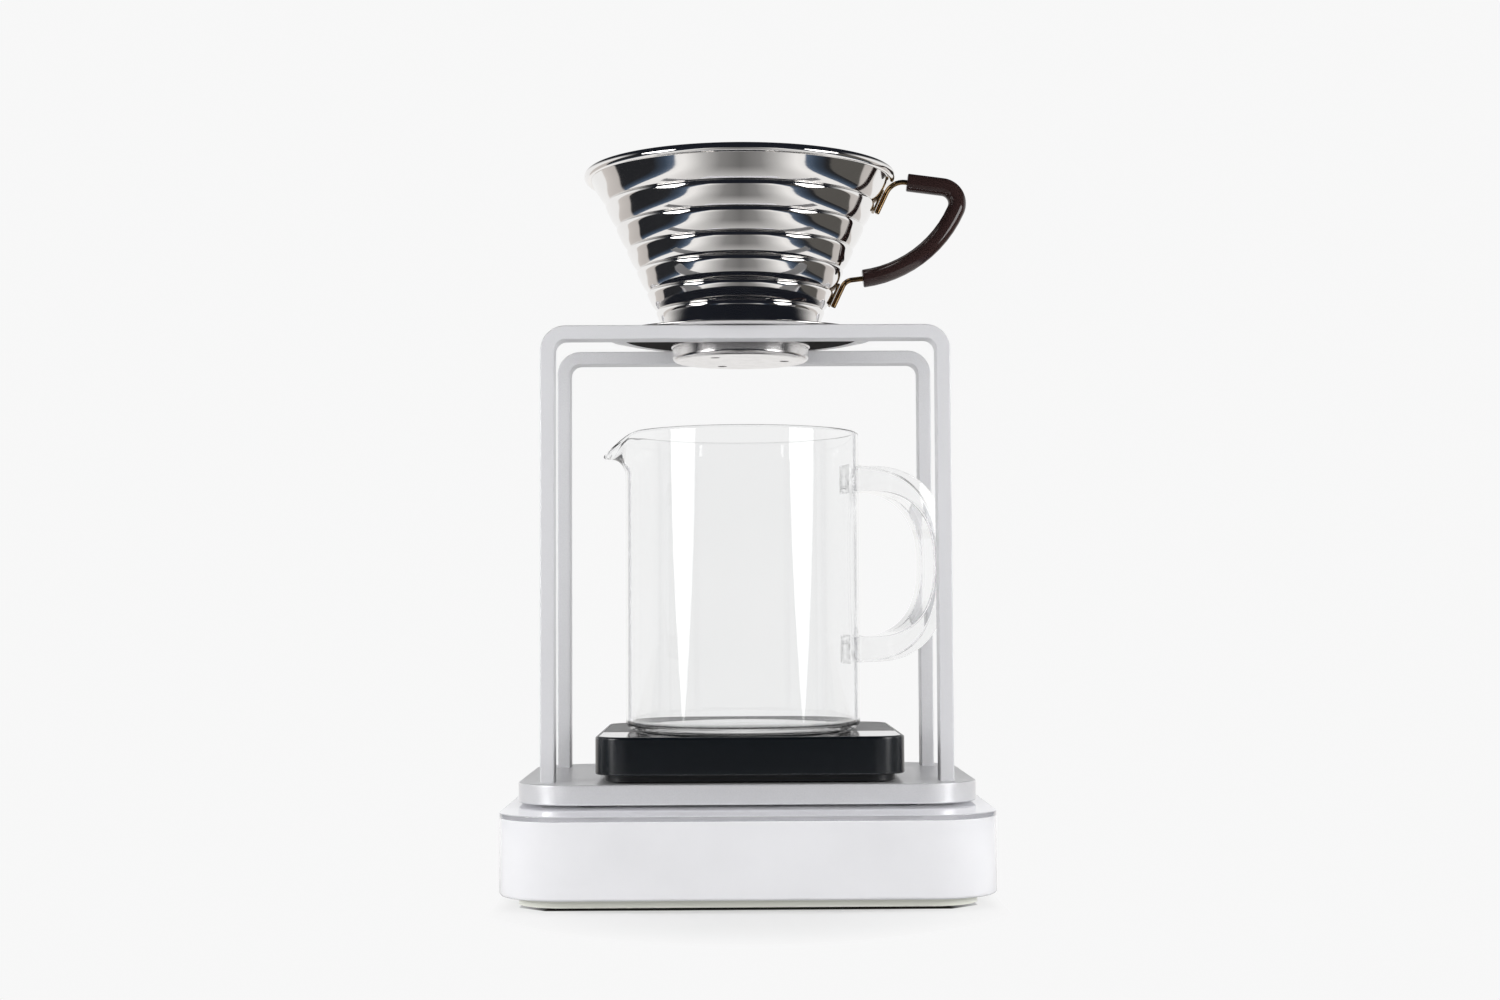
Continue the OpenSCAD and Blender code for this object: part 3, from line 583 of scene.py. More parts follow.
@dataclass(frozen=True)
class Blasted(Finish):
    """Bead-blasted surface: a fine grain all over, and a cloudier one in the roughness."""

    gloss: Pair = (0.36, 0.44)
    depth: float = 1.2e-5
    metal: float = 1.0
    shine: float = 0.5

    def build(self, shader: Shader) -> None:
        """A grain of about 0.2 mm and a cloudier one of about 2 mm."""
        fine = shader.noise(5200, 2)
        shader.set(Base_Color=self.tones(shader, fine, 0.93, 1.05, 0.25, 0.75),
                   Roughness=shader.span(shader.noise(420), *self.gloss), Normal=shader.bump(fine, self.depth),
                   Metallic=self.metal, Specular_IOR_Level=self.shine)


@dataclass(frozen=True)
class Polished(Finish):
    """Mirror-polished sheet steel with faint turning lines and smudges."""

    gloss: Pair = (0.035, 0.09)
    lines: float = 1.6e-6
    metal: float = 1.0

    def build(self, shader: Shader) -> None:
        """Turning lines are noise drawn out level round the piece; smudges are slow noise in the roughness."""
        smudge = shader.noise(55, 5)
        shader.set(Base_Color=self.tones(shader, smudge, 0.965, 1.02), Roughness=shader.span(smudge, *self.gloss),
                   Normal=shader.bump(shader.noise(60, 2, (1, 1, 60)), self.lines), Metallic=self.metal)


@dataclass(frozen=True)
class Drawn(Finish):
    """Drawn, brushed or aged metal: streaks along one axis and stained patches."""

    stain: Rgb = (0.1, 0.1, 0.1)
    gloss: Pair = (0.24, 0.4)
    stretch: Triple = (1, 1, 12)
    depth: float = 2e-5

    def build(self, shader: Shader) -> None:
        """Patches of stain over the bare metal, and streaks in roughness and height."""
        streak, patch = shader.noise(420, 3, self.stretch), shader.span(shader.noise(260, 4), 0, 1, 0.42, 0.72)
        shader.set(Base_Color=shader.blend(patch, self.tint, self.stain), Roughness=shader.span(streak, *self.gloss),
                   Normal=shader.bump(streak, self.depth), Metallic=1.0)


@dataclass(frozen=True)
class Clear(Finish):
    """Clear glass or acrylic that lets lamps through."""

    index: float = 1.47
    wave: float = 2e-5
    scale: float = 26.0

    def build(self, shader: Shader) -> None:
        """A slow waviness, as blown glass has, and hardly any tint; for shadow rays the surface is clear.

        Args:
            shader: The shader to feed.
        """
        drift = shader.noise(self.scale, 2)
        shader.set(Base_Color=self.tones(shader, drift, 1.0, 0.99), Normal=shader.bump(drift, self.wave),
                   Transmission_Weight=1.0, Roughness=0.0, IOR=self.index)
        shadow = shader.node("LightPath").outputs["Is Shadow Ray"]
        shader.shows(shader.mixed(shadow, shader.surface, shader.node("BsdfTransparent")))


@dataclass(frozen=True)
class Soft(Finish):
    """Rubber with a dusty grain."""

    def build(self, shader: Shader) -> None:
        """Dust lightens the dark rubber in fine specks."""
        dust = shader.noise(900, 4)
        shader.set(Base_Color=self.tones(shader, dust, 1.0, 1.7, 0.35, 0.8), Roughness=shader.span(dust, 0.75, 0.92),
                   Normal=shader.bump(dust, 0.00004))


@dataclass(frozen=True)
class Board(Finish):
    """Green circuit board with copper runs under its mask."""

    run: Rgb = (0.04, 0.228, 0.088)

    def build(self, shader: Shader) -> None:
        """Runs are the joints of a brick pattern, raised a little."""
        joints = shader.node("TexBrick", shader.place, Scale=240.0, Mortar_Size=0.04).outputs["Fac"]
        shader.set(Base_Color=shader.blend(joints, self.tint, self.run),
                   Roughness=shader.span(shader.noise(300), 0.3, 0.42), Normal=shader.bump(joints, 0.00003))


@dataclass(frozen=True)
class Foil(Finish):
    """Wrinkled battery foil."""

    def build(self, shader: Shader) -> None:
        """Wrinkles are stretched noise in height; the tone follows them, darker in their hollows as painted shade."""
        wrinkle_and_shade = shader.noise(120, 4, (1, 0.3, 1))
        # Painted shade: the tone darkens where the wrinkles sink.
        shader.set(Base_Color=self.tones(shader, wrinkle_and_shade, 0.85, 1.0), Roughness=shader.span(wrinkle_and_shade, 0.3, 0.5),
                   Normal=shader.bump(wrinkle_and_shade, 0.0002), Metallic=0.6)


WHITE = Moulded("white_shell", (0.84, 0.84, 0.865), gloss=(0.16, 0.22), coat=0.25, wave=4e-6, grain=900.0)
ACRYLIC = Clear("clear_acrylic", (0.89, 0.89, 0.915), index=1.49, wave=4e-6, scale=40.0)
TRAY = Moulded("tray_plastic", (0.90, 0.91, 0.82), gloss=(0.35, 0.5), wave=2e-5)
RUBBER = Soft("rubber", (0.022, 0.022, 0.022))
ALUMINIUM = Blasted("stand_aluminium", (0.66, 0.66, 0.68), gloss=(0.42, 0.50), metal=0.15)
PLATE = Blasted("stand_aluminium", (0.80, 0.80, 0.815), gloss=(0.30, 0.38), depth=1e-5, metal=0.55,
                look="plate_aluminium")
BLACK_BODY = Blasted("black_shell", (0.0006, 0.0022, 0.0040), gloss=(0.23, 0.27), depth=2e-7, metal=0.0, shine=0.85)
BLACK_TRAY = Moulded("black_tray", (0.006, 0.007, 0.008), gloss=(0.3, 0.45))
PLATFORM = Moulded("grey_platform", (0.10, 0.10, 0.103), gloss=(0.34, 0.42), wave=8e-6)
STRIP = Moulded("black_gloss", (0.03, 0.031, 0.033), gloss=(0.05, 0.09), coat=0.5, wave=2e-6, grain=300.0)
GLASS = Clear("jug_glass", (0.968, 0.970, 0.970))
STEEL = Polished("polished_steel", (0.86, 0.845, 0.83))
BRUSHED = Drawn("polished_steel", (0.68, 0.665, 0.66), stain=(0.6, 0.585, 0.58), gloss=(0.15, 0.22),
                stretch=(1, 1, 14), look="brushed_steel")
# Painted shade: near-black matt steel without reflection, for the flange's underside inside its band.
PAINTED_SHADE_UNDERSIDE = Blasted("polished_steel", (0.05, 0.048, 0.048), gloss=(0.5, 0.6), depth=4e-6, metal=0.0, shine=0.0,
                    look="painted_shade_steel")
INSIDE = Polished("polished_steel", (0.78, 0.77, 0.755), gloss=(0.25, 0.33), metal=0.35, look="inner_steel")
BRONZE = Drawn("bronze", (0.24, 0.155, 0.075), stain=(0.17, 0.11, 0.055), gloss=(0.2, 0.28),
               stretch=(0.4, 0.4, 0.4), depth=2e-6)
SLEEVE = Moulded("grip_brown", (0.027, 0.0145, 0.0135), gloss=(0.07, 0.10), wave=1e-7, grain=300.0)
CELL = Drawn("cell_metal", (0.72, 0.72, 0.74), stain=(0.6, 0.6, 0.62), gloss=(0.3, 0.42), stretch=(0.1, 1, 1))
MASK = Board("board", (0.02, 0.12, 0.055))
BATTERY = Foil("battery_foil", (0.55, 0.56, 0.58))
LIGHTS_OFF = Moulded("display_module", (0.02, 0.02, 0.023), gloss=(0.08, 0.14), coat=0.4, wave=4e-6)
SOCKET = Drawn("socket_metal", (0.62, 0.62, 0.63), stain=(0.5, 0.5, 0.52))
SCREWS = Drawn("screw_steel", (0.55, 0.55, 0.56), stain=(0.4, 0.4, 0.42))
INSIDES = {"feet": RUBBER, "load_cell": CELL, "circuit_board": MASK, "battery": BATTERY, "display": LIGHTS_OFF,
           "charge_socket": SOCKET, "screws": SCREWS}


def dressed_insides(scale: str, tray: Finish) -> None:
    """Dresses the tray of a scale and the pieces that both scales have, by the first word of their names."""
    for part, finish in {"tray": tray, **INSIDES}.items():
        dressed(finish, f"{scale}_{part}")


# ---- Base scale ----


@dataclass
class BaseScale:
    """White scale with a clear top sheet, which carries the stand."""

    width: float = 160.6
    corner: float = 21.6
    top: float = 30.2
    roof: float = 28.4
    ceiling: float = 26.0
    gap: float = 3.7
    wall: float = 2.4
    print_depth: float = 0.06
    print_inset: float = 0.3
    plug_size: Pair = (12.2, 6.4)
    plug_height: float = 9.3

    def build(self) -> None:
        """Builds the shell and the clear sheet, and dresses what stays."""
        self.shell()
        self.sheet()
        dressed_insides("base", TRAY)

    def shell(self) -> None:
        """Skirted shell: a wall profile carried round the outline, open below, with the plug's hole at the back.

        Its roof reaches a hair into the clear sheet, as the white print under such a sheet does.
        """
        inner, roof = self.corner * 0.5, self.roof + self.print_depth
        profile = rounded([(inner, roof, 0), (self.print_inset, roof, 0.1), (self.print_inset, self.roof, 0),
                           (0, self.roof, 0.2), (0, self.gap, 1.0), (self.wall, self.gap, 0.5),
                           (self.wall, self.ceiling, 1.2), (inner, self.ceiling, 0)])
        path = outline((self.width, self.width), self.corner, (0, 0))
        piece = new_mesh("white_shell", carried(path, profile))
        worked_in(piece, Join.CUT, plug_cutter(self.plug_size, (0, self.width / 2, self.plug_height)))
        finished(piece, Body.BASE, WHITE, "base_shell")

    def sheet(self) -> None:
        """Clear sheet with polished edges."""
        inner, foot = self.corner * 0.5, self.roof
        profile = rounded([(inner, self.top, 0), (0, self.top, 0.28), (0, foot, 0.28), (inner, foot, 0)], steps=4)
        path = outline((self.width, self.width), self.corner, (0, 0))
        piece = new_mesh("clear_sheet", carried(path, profile))
        finished(piece, Body.BASE, ACRYLIC, "base_top")


def plug_cutter(size: Pair, middle: Triple, reach: float = 4.0) -> Patch:
    """Slot with round corners for a charging plug, along Y.

    Args:
        size: Width and height of the slot.
        middle: Centre of the slot on the outer face.
        reach: How far it goes to each side of that face.

    Returns:
        The closed shape.
    """
    points, _ = outline(size, min(size) * 0.45, (0, 0), 8, 0.0)
    ends = np.broadcast_arrays(points[:, :1], np.array([[-reach, reach]]), points[:, 1:])
    return Patch(np.stack(ends, axis=-1) + np.array(middle), cap_cols=True)


# ---- Stand ----


@dataclass
class Stand:
    """Aluminium plate with two bent bar frames."""

    plate: Pair = (153.7, 107.0)
    plate_corner: float = 19.4
    plate_low: float = 31.0
    plate_top: float = 37.7
    back: float = 3.8
    frame_width: float = 138.1
    frame_height: float = 153.2
    spacing: float = 74.7
    bar: Pair = (4.7, 9.8)
    bar_edge: float = 0.45
    bend: float = 8.5
    screw: Triple = (5.3, 2.65, 2.6)
    screw_roof: float = 0.4

    def build(self) -> None:
        """Builds the plate and both frames, and dresses the screws and pads."""
        self.base_plate()
        self.bar_frame("front_bar", Side.FRONT, "front_frame")
        self.bar_frame("rear_bar", Side.REAR, "rear_frame")
        dressed(SCREWS, "frame_screws")
        dressed(RUBBER, "stand_pads")

    def base_plate(self) -> None:
        """Plate with eased edges: an edge profile carried round the outline, with screw holes from below."""
        inner = self.plate_corner * 0.5
        profile = rounded([(inner, self.plate_top, 0), (0, self.plate_top, 0.45), (0, self.plate_low, 0.6),
                           (inner, self.plate_low, 0)])
        path = outline(self.plate, self.plate_corner, (0, self.back))
        piece = new_mesh("plate", carried(path, profile))
        head, depth, shank = self.screw
        low, end = self.plate_low, self.plate_top - self.screw_roof
        steps = np.array([(0, low - 1), (head / 2, low - 1), (head / 2, low + depth), (shank / 2, low + depth),
                          (shank / 2, end), (0, end)])
        feet = [(x * (self.frame_width - self.bar[0]) / 2, self.back + y * self.spacing / 2)
                for x in (-1, 1) for y in (-1, 1)]
        worked_in(piece, Join.CUT, *(revolved(steps, foot, 32) for foot in feet))
        finished(piece, Body.STAND, PLATE, "stand_plate")

    def bar_frame(self, name: str, side: Side, node: str) -> None:
        """Flat bar with eased edges, bent to an arch: a section carried up, across and down.

        Args:
            name: Name of the piece.
            side: Front or rear frame.
            node: The CAD node that it stands for.
        """
        thick, deep = self.bar
        half = (self.frame_width - thick) / 2
        low, high = self.plate_top, self.plate_top + self.frame_height - thick / 2
        radius = self.bend - thick / 2
        line = rounded([(-half, low, 0), (-half, high, radius), (half, high, radius), (half, low, 0)], steps=14)
        along = unit(np.gradient(line, axis=0))
        place = self.back + side.value * self.spacing / 2
        path = np.stack([line[:, 0], np.full(len(line), place), line[:, 1]], axis=-1)
        across = np.stack([-along[:, 1], np.zeros(len(line)), along[:, 0]], axis=-1)
        section = bar_section(thick / 2, deep / 2, self.bar_edge, 5)
        finished(new_mesh(name, swept(path, across, ALONG_Y, section)), Body.STAND, ALUMINIUM, node)


# ---- Brew scale ----


@dataclass
class BrewScale:
    """Small black scale on the plate, under the jug."""

    width: float = 103.2
    corner: float = 11.3
    middle: Pair = (0.9, 3.9)
    low: float = 40.5
    top: float = 53.1
    skin: float = 0.8
    rim: float = 1.1
    wall: float = 1.8
    ceiling: float = 50.5
    strip_depth: float = 34.0
    clear: float = 0.15
    sunk: float = 0.02
    seam_corner: float = 0.3
    plug_size: Pair = (12.2, 6.4)
    plug_height: float = 44.9

    def build(self) -> None:
        """Builds the body, the strip and the platform, and dresses what stays."""
        self.body()
        inner = self.width - 2 * (self.rim + self.clear)
        radius = self.corner - self.rim - self.clear
        front = -inner / 2
        seam = self.strip_depth - self.width / 2 + self.rim
        self.cover("front_strip", (front, seam), inner, (self.seam_corner, radius), STRIP, "brew_window")
        self.cover("platform", (seam + self.clear, inner / 2), inner, (radius, self.seam_corner), PLATFORM,
                   "brew_platform")
        dressed_insides("brew", BLACK_TRAY)

    def body(self) -> None:
        """Satin body: pocket, rim, side and inner wall as one profile carried round the outline."""
        inner, pocket = self.corner * 0.6, self.top - self.skin - self.sunk
        profile = rounded([(inner, pocket, 0), (self.rim, pocket, 0.1), (self.rim, self.top, 0.18),
                           (0, self.top, 0.75), (0, self.low, 0.5), (self.wall, self.low, 0.4),
                           (self.wall, self.ceiling, 0.6), (inner, self.ceiling, 0)])
        path = outline((self.width, self.width), self.corner, self.middle)
        piece = new_mesh("black_body", carried(path, profile))
        back = (self.middle[0], self.middle[1] + self.width / 2, self.plug_height)
        worked_in(piece, Join.CUT, plug_cutter(self.plug_size, back))
        finished(piece, Body.BREW, BLACK_BODY, "brew_shell")

    def cover(self, name: str, stretch: Pair, width: float, radii: Pair, finish: Finish, node: str) -> None:
        """Thin sheet in the body's pocket, with eased upper edges.

        Args:
            name: Name of the piece.
            stretch: Where it begins and ends, from the scale's middle.
            width: Its width.
            radii: Radius of its back corners and of its front corners.
            finish: Its finish.
            node: The CAD node that it stands for.
        """
        begin, end = stretch
        place = (self.middle[0], self.middle[1] + (begin + end) / 2)
        low, top, inner = self.top - self.skin, self.top - self.sunk, 0.25
        profile = rounded([(inner, top, 0), (0, top, 0.12), (0, low, 0.1), (inner, low, 0)], steps=3)
        path = outline((width, end - begin), radii, place)
        finished(new_mesh(name, carried(path, profile)), Body.BREW, finish, node)


# ---- Jug ----


@dataclass
class Jug:
    """Clear glass jug with a pulled spout on the left and a strap handle."""

    middle: Pair = (-1.1, 3.1)
    foot: float = 53.1
    radius: float = 41.2
    height: float = 104.2
    wall: float = 1.9
    floor: float = 2.2
    edge: float = 3.2
    push_up: float = 0.5
    lip_out: float = 7.9
    lip_drop: float = 7.4
    lip_angle: float = 15.0
    lip_fall: float = 1.6
    lip_power: float = 1.15
    spout_height: float = 15.0
    handle_middle: float = 58.2
    handle_start: float = 45.0
    handle_outer: Pair = (30.2, 35.0)
    handle_inner: Pair = (24.4, 26.0)
    handle_power: float = 2.5
    strap: float = 18.0
    strap_edge: float = 0.12
    root_depth: float = 1.2
    root_taper: Pair = (0.35, 9.0)
    root_weld: Pair = (0.16, 1.3)
    turned_back: float = 17.0
    sides: int = 192
    step: float = 1.1

    def build(self) -> None:
        """Builds the glass, with its handle fused to the wall."""
        piece = new_mesh("jug_glass", self.wall_patch())
        worked_in(piece, Join.FUSE, self.handle_patch())
        finished(piece, Body.JUG, GLASS, "jug_body", "jug_handle")

    def wall_patch(self) -> Patch:
        """Glass: a wall profile turned about the axis, then pulled out and down at the spout.

        The pull is a bell over the angle from the spout times a rise over the last part of the height. It moves a
        point out by lip_out and down by lip_drop where both are 1.

        Returns:
            The closed surface of floor and wall.
        """
        low, high = self.foot, self.foot + self.height
        inside, lip = self.radius - self.wall, self.wall / 2 - 0.02
        profile = rounded([(0, low + self.push_up, 0), (self.radius * 0.55, low + self.push_up * 0.8, 8.0),
                           (self.radius * 0.8, low, 3.0), (self.radius, low, self.edge),
                           (self.radius, high - self.spout_height, 0), (self.radius, high, lip), (inside, high, lip),
                           (inside, high - self.spout_height, 0),
                           (inside, low + self.floor, self.edge - self.wall), (0, low + self.floor + 0.3, 0)], steps=8)
        patch = revolved(refined(profile, self.step), self.middle, self.sides)
        grid = patch.points
        flat = grid[..., :2] - np.array(self.middle)
        angle = np.degrees(np.abs(np.arctan2(flat[..., 1], -flat[..., 0])))
        bell = np.exp(-((angle / self.lip_angle) ** 2) * self.lip_fall)
        rise = smooth_step(grid[..., 2], high - self.spout_height, high) ** self.lip_power
        near = np.where(np.linalg.norm(flat, axis=-1) > inside - 3, bell * rise, 0)
        outward = flat / np.maximum(np.linalg.norm(flat, axis=-1, keepdims=True), 1e-6)
        grid[..., :2] += self.lip_out * near[..., None] * outward
        grid[..., 2] -= self.lip_drop * near * smooth_step(grid[..., 2], high - self.spout_height, high)
        return patch

    def handle_patch(self) -> Patch:
        """Strap handle: a rounded section between an outer and an inner super-ellipse, run into the wall.

        On a super-ellipse of half axes a and b, out = a cos^(2/p) and up = b sin^(2/p).

        Returns:
            The closed surface of the strap.
        """
        turn = np.radians(np.linspace(90, -90, 61))
        power = 2 / self.handle_power
        shape = np.stack([np.cos(turn).clip(0) ** power, np.sign(np.sin(turn)) * np.abs(np.sin(turn)) ** power], -1)
        roots = np.linspace(self.radius - self.root_depth, self.handle_start, 7)[:-1]
        lines = []
        for half in (self.handle_outer, self.handle_inner):
            curve = shape * np.array(half) + np.array([self.handle_start, 0])
            first, last = (np.stack([roots, np.full(6, curve[end, 1])], -1) for end in (0, -1))
            lines.append(np.vstack([first, curve, last[::-1]]))
        outer, inner = lines
        middle, reach = (outer + inner) / 2, (outer - inner) / 2
        thick = np.linalg.norm(reach, axis=-1)
        (narrowing, over), (swelling, length) = self.root_taper, self.root_weld
        weld = 1 + swelling * np.exp(-(((middle[:, 0] - self.radius) / length) ** 2))
        narrow = 1 - narrowing * np.exp(-(((middle[:, 0] - self.radius) / over) ** 2))
        bent = math.radians(self.turned_back)
        out = np.array([math.cos(bent), math.sin(bent), 0.0])
        upright = np.array([0.0, 0.0, 1.0])
        origin = np.array([*self.middle, self.foot + self.handle_middle])
        path = origin + middle[:, :1] * out + middle[:, 1:] * upright
        away = unit(reach[:, :1] * out + reach[:, 1:] * upright)
        section = bar_section(1, 1, self.strap_edge, 8)
        scale = np.stack([thick * weld, self.strap / 2 * narrow], -1)
        return swept(path, away, np.cross(upright, out)[None], section, scale)


def refined(line: Array, step: float) -> Array:
    """Adds points to a flat line, so that no stretch is longer than a step.

    Args:
        line: Points, n by 2.
        step: Longest stretch.

    Returns:
        The line with the added points, all on the old stretches.
    """
    lengths = np.linalg.norm(np.diff(line, axis=0), axis=1)
    counts = np.maximum(np.ceil(lengths / step).astype(int), 1)
    at = np.concatenate([i + np.arange(n) / n for i, n in enumerate(counts)] + [[len(line) - 1]])
    number = np.arange(len(line))
    return np.stack([np.interp(at, number, line[:, 0]), np.interp(at, number, line[:, 1])], axis=-1)


# ---- Dripper ----


def heading(degrees: float) -> Array:
    """Unit step along a heading in the handle's plane, out and up."""
    return np.array([math.cos(math.radians(degrees)), math.sin(math.radians(degrees))])


def leg(size: float, first: float, last: float) -> Array:
    """Step made by one leg of the handle's wire.

    Args:
        size: Length of a straight leg, or radius of a round bend.
        first: Heading at its start, in degrees.
        last: Heading at its end, the same for a straight leg.

    Returns:
        How far the leg goes out and up.
    """
    if first == last:
        return size * heading(first)
    a, b = math.radians(first), math.radians(last)
    return math.copysign(size, last - first) * np.array([math.sin(b) - math.sin(a), math.cos(a) - math.cos(b)])


def leg_points(start: Array, size: float, first: float, last: float) -> list[Array]:
    """Points along one leg after its start: the end of a straight one, and every five degrees of a bend.

    Args:
        start: Where the leg starts, out and up.
        size: Its length or radius.
        first: Heading at its start, in degrees.
        last: Heading at its end.

    Returns:
        Rows of out, up and heading.
    """
    count = 1 if first == last else max(2, math.ceil(abs(last - first) / 5))
    turns = first + (last - first) * np.arange(1, count + 1) / count
    return [np.array([*(start + leg(size, first, turn)), turn]) for turn in turns]


@dataclass
class Dripper:
    """Ribbed steel dripper with its flange, collar and wire handle."""

    middle: Pair = (-1.4, 1.5)
    flange_low: float = 190.9
    flange_top: float = 191.8
    flange_radius: float = 47.3
    flange_band: float = 5.8
    flange_edge: Pair = (2.6, 0.35)
    foot_radius: float = 25.0
    taper: float = 0.4716
    height: float = 56.6
    sheet: float = 0.8
    swell: float = 1.1
    flare: float = 0.8
    bead: float = 1.59
    grooves: tuple[float, ...] = (0, 0.161, 0.277, 0.415, 0.546, 0.687, 0.833, 0.977)
    shoulder: float = 0.74
    collar_radius: float = 24.1
    collar_drop: float = 8.1
    neck_height: float = 2.4
    neck_inset: float = 1.6
    lip: float = 0.5
    lip_height: float = 0.9
    collar_edge: float = 1.6
    drip_circle: float = 15.5
    drip_hole: float = 3.2
    drip_turns: tuple[float, ...] = (-5, 115, 235)
    wire: float = 1.8
    grip: float = 6.4
    grip_clear: float = 0.08
    upper_bend: float = 6.6
    lower_bend: float = 4.0
    grip_corner: float = 5.9
    grip_slope: float = 7.5
    corner_turn: float = 107.0
    curve_turn: float = 58.5
    upper_bare: float = 0.5
    lower_bare: float = 4.0
    strap_length: float = 8.3
    strap_width: float = 8.0
    strap_thick: float = 0.7
    strap_gap: float = 0.05
    strap_corner: float = 1.5
    strap_inset: float = 1.4
    upper_drop: float = 11.6
    lower_height: float = 11.5
    bead_arc: Pair = (-124, 190)
    cone_sides: int = 240
    flange_sides: int = 224
    slope: float = field(init=False)

    def __post_init__(self) -> None:
        """Works out the cone's slope from level, in degrees."""
        self.slope = 90 - math.degrees(math.atan(self.taper))

    def build(self) -> None:
        """Builds the cone, the flange, the collar and the handle."""
        self.cone()
        self.flange()
        self.collar()
        path, first, last = self.wire_path()
        wire, bore = self.wire / 2, self.wire / 2 + self.grip_clear
        for name, finish, sides, rows, *ends in (
                ("wire", BRONZE, 20, path, wire, 0.35, 0.5),
                ("grip", SLEEVE, 32, path[first:last + 1], self.grip / 2, 0.45, bore)):
            tube = self.tube(*eased_ends(rows, *ends), sides)
            finished(new_mesh(name, tube), Body.DRIPPER, finish, "handle_" + name)
        self.strap("strap_upper", self.height - self.upper_drop, "upper_strap")
        self.strap("strap_lower", self.lower_height, "lower_strap")

    def cone_radius(self, height: Array | float) -> Array | float:
        """Radius of the grooves at a height above the flange: foot radius plus taper times height."""
        return self.foot_radius + self.taper * height

    def cone_line(self) -> Array:
        """Outline of the cone's outside from foot to rim.

        Within a tier the swell rises fast and then evens out, as 1 - (1 - t)^4, and at its shoulder it falls as a
        quarter of an ellipse to the next groove. The top tier has no shoulder and flares out to the rim.

        Returns:
            Radius and height of each point.
        """
        share = np.concatenate([[0.0, 0.01, 0.03], self.shoulder * np.linspace(0.27, 1, 14)[:-1] ** 2,
                                self.shoulder + (1 - self.shoulder) * np.sin(np.radians(np.linspace(0, 88, 10)))])
        grooves = np.array(self.grooves) * self.height
        low, high = grooves[:-1, None], grooves[1:, None]
        height = low + share[None] * (high - low)
        rising = 1 - (1 - share / self.shoulder).clip(0) ** 4
        falling = np.sqrt(np.clip(1 - ((share - self.shoulder) / (1 - self.shoulder)) ** 2, 0, 1))
        swell = np.where(share < self.shoulder, rising, falling)[None].repeat(len(low), 0)
        swell[-1] = rising
        top = grooves[-2]
        flare = self.flare * np.clip((height - top) / (self.height - top), 0, 1)
        radius = self.cone_radius(height) + flare + self.swell * swell
        return np.stack([radius, height], -1).reshape(-1, 2)

    def cone(self) -> None:
        """Cone: the outline, a bead rolled down beside it and the outline one sheet further in, turned.

        The faces that look in, below the bead, get the inner finish.
        """
        line = self.cone_line()
        rim = self.cone_radius(self.height) + self.flare
        turn = np.radians(np.linspace(*self.bead_arc, 32))
        centre = np.array([rim + self.bead - self.sheet / 2, self.height])
        bead = centre + self.bead * around(turn)
        profile = np.vstack([line, bead, line[::-1] - np.array([self.sheet, 0]), line[:1]])
        profile[:, 1] += self.flange_top
        piece = new_mesh("cone", revolved(profile, self.middle, self.cone_sides))
        finished(piece, Body.DRIPPER, STEEL, "dripper_cone")
        spots, tilts = face_data(piece)
        away = spots[:, :2] - np.array(self.middle)
        inside = (away * tilts[:, :2]).sum(-1) < -0.2 * np.linalg.norm(away, axis=-1)
        second_finish(piece, INSIDE, inside & (spots[:, 2] < self.flange_top + self.height - self.bead))

    def flange(self) -> None:
        """Flange: a thin ring whose outer edge turns up a little below, with painted shade underneath inside a bright
        band.
        """
        inner = self.collar_radius - self.neck_inset - self.sheet
        low, top, out = self.flange_low, self.flange_top, self.flange_radius
        band, (wide, rise) = out - self.flange_band, self.flange_edge
        profile = rounded([(inner, low, 0.2), (band, low, 0), (out - wide, low, 1.5), (out, low + rise, 0.25),
                           (out, top, 0.25), (inner, top, 0.2)], closed=True, steps=5)
        piece = new_mesh("flange", revolved(profile, self.middle, self.flange_sides, closed=True))
        finished(piece, Body.DRIPPER, STEEL, "dripper_flange")
        spots, tilts = face_data(piece)
        reach = np.linalg.norm(spots[:, :2] - np.array(self.middle), axis=-1)
        # The flat underside inside the band gets the painted shade.
        second_finish(piece, PAINTED_SHADE_UNDERSIDE, (tilts[:, 2] < -0.99) & (reach < band))

    def collar(self) -> None:
        """Collar: neck, lip bead, wall and round lower edge turned about the axis, with drip holes in its floor."""
        top, low = self.flange_low, self.flange_low - self.collar_drop
        out, neck, sheet = self.collar_radius, self.collar_radius - self.neck_inset, self.sheet
        lip_top, lip_low = top - self.neck_height, top - self.neck_height - self.lip_height
        profile = rounded([(0, low + 0.25, 0), (out - 5, low, 3), (out, low, self.collar_edge), (out, lip_low, 0.12),
                           (out + self.lip, lip_low, 0.3), (out + self.lip, lip_top, 0.4), (neck, lip_top, 0.2),
                           (neck, top, 0), (neck - sheet, top, 0), (neck - sheet, lip_top - sheet, 0.2),
                           (out - sheet, lip_top - sheet, 0.2), (out - sheet, low + sheet, 1.0),
                           (0, low + sheet + 0.2, 0)], steps=5)
        piece = new_mesh("collar", revolved(profile, self.middle))
        hole = np.array([(0, low - 2), (self.drip_hole / 2, low - 2), (self.drip_hole / 2, low + 3), (0, low + 3)])
        spots = [np.array(self.middle) + self.drip_circle * heading(turn) for turn in self.drip_turns]
        worked_in(piece, Join.CUT, *(revolved(hole, tuple(spot), 32) for spot in spots))
        finished(piece, Body.DRIPPER, BRUSHED, "dripper_collar")
        second_finish(piece, INSIDE, face_data(piece)[1][:, 2] > 0.5)

